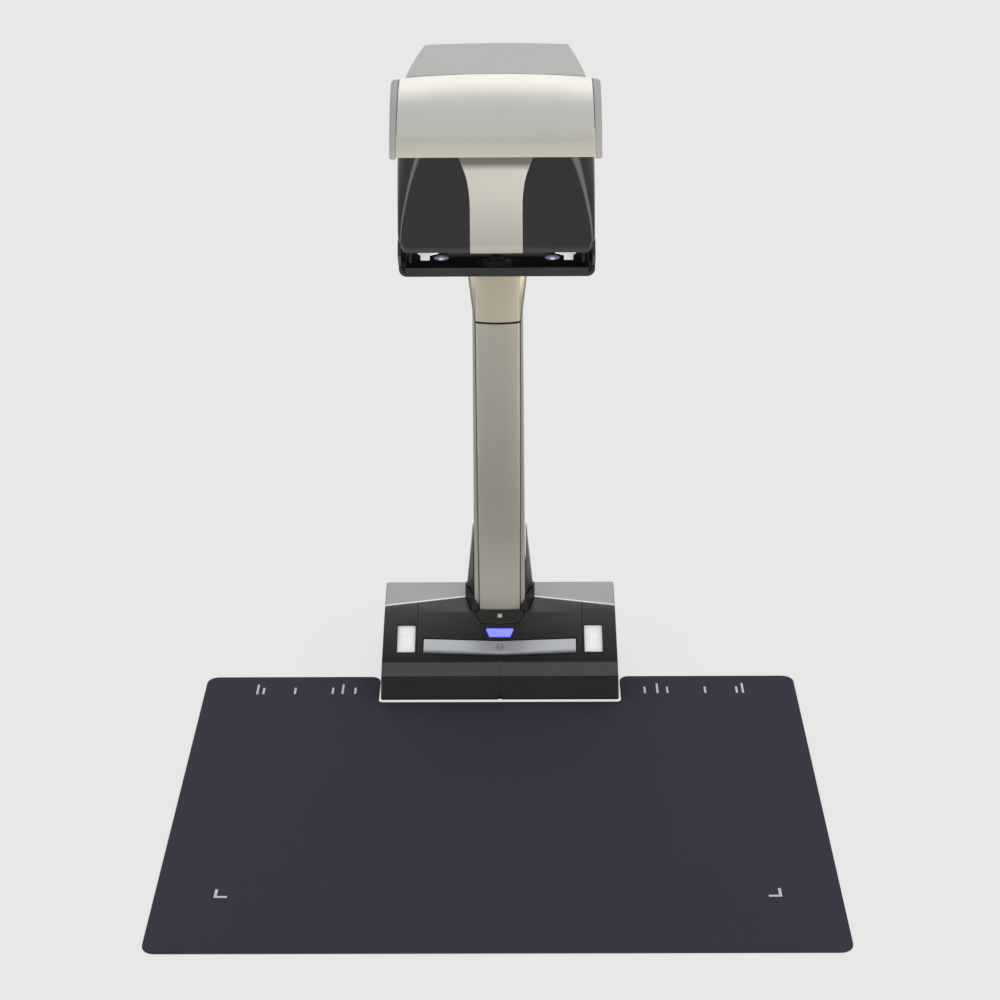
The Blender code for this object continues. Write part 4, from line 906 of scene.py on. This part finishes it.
def build_floor():
    """A pale floor, mostly lit from within like a light table, so that it stays even to the horizon."""
    bm = bmesh.new()
    bmesh.ops.create_grid(bm, x_segments=1, y_segments=1, size=30.0)
    floor = add_object("studio_floor", bm)
    floor.location.z = -0.0002
    made, tree, shader = node_tree("studio_floor")
    clouds = remap(tree, noise(tree, 2.0), 0.0, 1.0)
    tree.links.new(mix_colour(tree, clouds, (0.10, 0.10, 0.10), (0.11, 0.11, 0.11)),
                   shader.inputs["Base Color"])
    shader.inputs["Emission Color"].default_value = (1.0, 1.0, 1.0, 1.0)
    shader.inputs["Emission Strength"].default_value = FLOOR_GLOW
    shader.inputs["Roughness"].default_value = 0.9
    shader.inputs["Specular IOR Level"].default_value = 0.0
    wear(floor, made)
    floor.visible_glossy = False
    floor.visible_diffuse = False


class Sky:
    """The studio's surroundings: soft boxes painted by direction on the world."""

    def __init__(self, level):
        world = bpy.data.worlds.new("studio")
        bpy.context.scene.world = world
        world.use_nodes = True
        self.tree = world.node_tree
        place = self.tree.nodes.new("ShaderNodeTexCoord")
        split = self.tree.nodes.new("ShaderNodeSeparateXYZ")
        self.tree.links.new(place.outputs["Generated"], split.inputs["Vector"])
        self.place = place.outputs["Generated"]
        x, y, z = split.outputs
        self.azimuth = self.math("ARCTAN2", x, self.math("MULTIPLY", y, -1.0))
        self.height = self.math("ARCSINE", z)
        self.total = self.scaled(self.math("ADD", self.math("MULTIPLY", z, 0.0), 1.0), level)

    def math(self, operation, first, second=None):
        node = self.tree.nodes.new("ShaderNodeMath")
        node.operation = operation
        for socket, value in zip(node.inputs, (first, second)):
            if isinstance(value, (int, float)):
                socket.default_value = value
            elif value is not None:
                self.tree.links.new(value, socket)
        return node.outputs["Value"]

    def scaled(self, value, colour):
        node = self.tree.nodes.new("ShaderNodeVectorMath")
        node.operation = "MULTIPLY"
        self.tree.links.new(value, node.inputs[0])
        node.inputs[1].default_value = colour
        return node.outputs["Vector"]

    def window(self, value, centre, half, soft):
        """1 within half of the centre, falling to 0 over the soft margin; all in degrees."""
        away = self.math("ABSOLUTE", self.math("SUBTRACT", value, math.radians(centre)))
        node = self.tree.nodes.new("ShaderNodeMapRange")
        node.interpolation_type = "SMOOTHSTEP"
        node.inputs["From Min"].default_value = math.radians(half)
        node.inputs["From Max"].default_value = math.radians(half + soft)
        node.inputs["To Min"].default_value = 1.0
        node.inputs["To Max"].default_value = 0.0
        self.tree.links.new(away, node.inputs["Value"])
        return node.outputs["Result"]

    def add(self, value, colour):
        node = self.tree.nodes.new("ShaderNodeVectorMath")
        node.operation = "ADD"
        self.tree.links.new(self.total, node.inputs[0])
        self.tree.links.new(self.scaled(value, colour), node.inputs[1])
        self.total = node.outputs["Vector"]

    def lobe(self, direction, inner, outer, colour):
        """A round soft light towards a direction, full within the inner angle and gone at the outer one."""
        node = self.tree.nodes.new("ShaderNodeVectorMath")
        node.operation = "DOT_PRODUCT"
        self.tree.links.new(self.place, node.inputs[0])
        node.inputs[1].default_value = Vector(direction).normalized()
        away = self.math("ARCCOSINE", node.outputs["Value"])
        self.add(self.window(away, 0.0, inner, outer - inner), colour)

    def soft_box(self, azimuth, height, size, soft, colour):
        """A rectangle of light; azimuth 0 is the front, +90 the right, and height is above the horizon."""
        across = self.window(self.azimuth, azimuth, size[0], soft)
        upright = self.window(self.height, height, size[1], soft)
        self.add(self.math("MULTIPLY", across, upright), colour)

    def finish(self):
        self.tree.links.new(self.total, self.tree.nodes["Background"].inputs["Color"])


def build_studio():
    sky = Sky((0.78, 0.78, 0.78))
    sky.lobe((0.0, 0.60, 0.80), 8.0, 38.0, (1.0, 1.0, 0.98))
    sky.lobe((0.75, 0.0, 0.66), 10.0, 55.0, (0.20, 0.20, 0.20))
    sky.soft_box(0.0, -50.0, (50.0, 8.0), 8.0, (0.80, 0.66, 0.62))
    sky.soft_box(35.0, -13.0, (9.0, 18.0), 10.0, (3.3, 3.0, 2.7))
    sky.soft_box(-32.0, -12.0, (4.0, 22.0), 8.0, (3.2, 3.2, 3.3))
    sky.finish()
    page_bounce()


PAGE_SIZE = (0.30, 0.155)     # in metres, with its centre's place
PAGE_CENTRE = (0.0, 0.017, 0.004)


def page_bounce():
    """The soft light that comes back from a white page under the head."""
    data = bpy.data.lights.new("page_bounce", "AREA")
    data.shape = "RECTANGLE"
    data.size, data.size_y = PAGE_SIZE
    data.energy = 0.17
    data.color = (1.0, 0.95, 0.87)
    made = bpy.data.objects.new("page_bounce", data)
    bpy.context.scene.collection.objects.link(made)
    made.location = PAGE_CENTRE
    made.rotation_euler.x = math.pi
    made.visible_camera = False


CAMERA_PLACE = (16.6, -1614.7, 996.8)
CAMERA_LENS = 80.86
CAMERA_PITCH = 24.938         # degrees downward, about the vertical, and about the line of sight
CAMERA_YAW = 0.505
CAMERA_ROLL = -0.428


def build_camera():
    data = bpy.data.cameras.new("camera")
    data.sensor_width = 36.0
    data.lens = CAMERA_LENS
    data.clip_start, data.clip_end = 0.05, 60.0
    made = bpy.data.objects.new("camera", data)
    bpy.context.scene.collection.objects.link(made)
    pitch, yaw, roll = (math.radians(angle) for angle in (CAMERA_PITCH, CAMERA_YAW, CAMERA_ROLL))
    heading = Matrix.Rotation(yaw, 3, "Z")
    forward = heading @ Vector((0.0, math.cos(pitch), -math.sin(pitch)))
    level_up = heading @ Vector((0.0, math.sin(pitch), math.cos(pitch)))
    level_right = heading @ Vector((1.0, 0.0, 0.0))
    right = level_right * math.cos(roll) + level_up * math.sin(roll)
    up = level_up * math.cos(roll) - level_right * math.sin(roll)
    turn = Matrix((right, up, -forward)).transposed()
    made.matrix_world = Matrix.Translation(Vector(CAMERA_PLACE) * MM) @ turn.to_4x4()
    bpy.context.scene.camera = made


build_floor()
build_studio()
build_camera()
bpy.context.scene.view_settings.view_transform = "Standard"
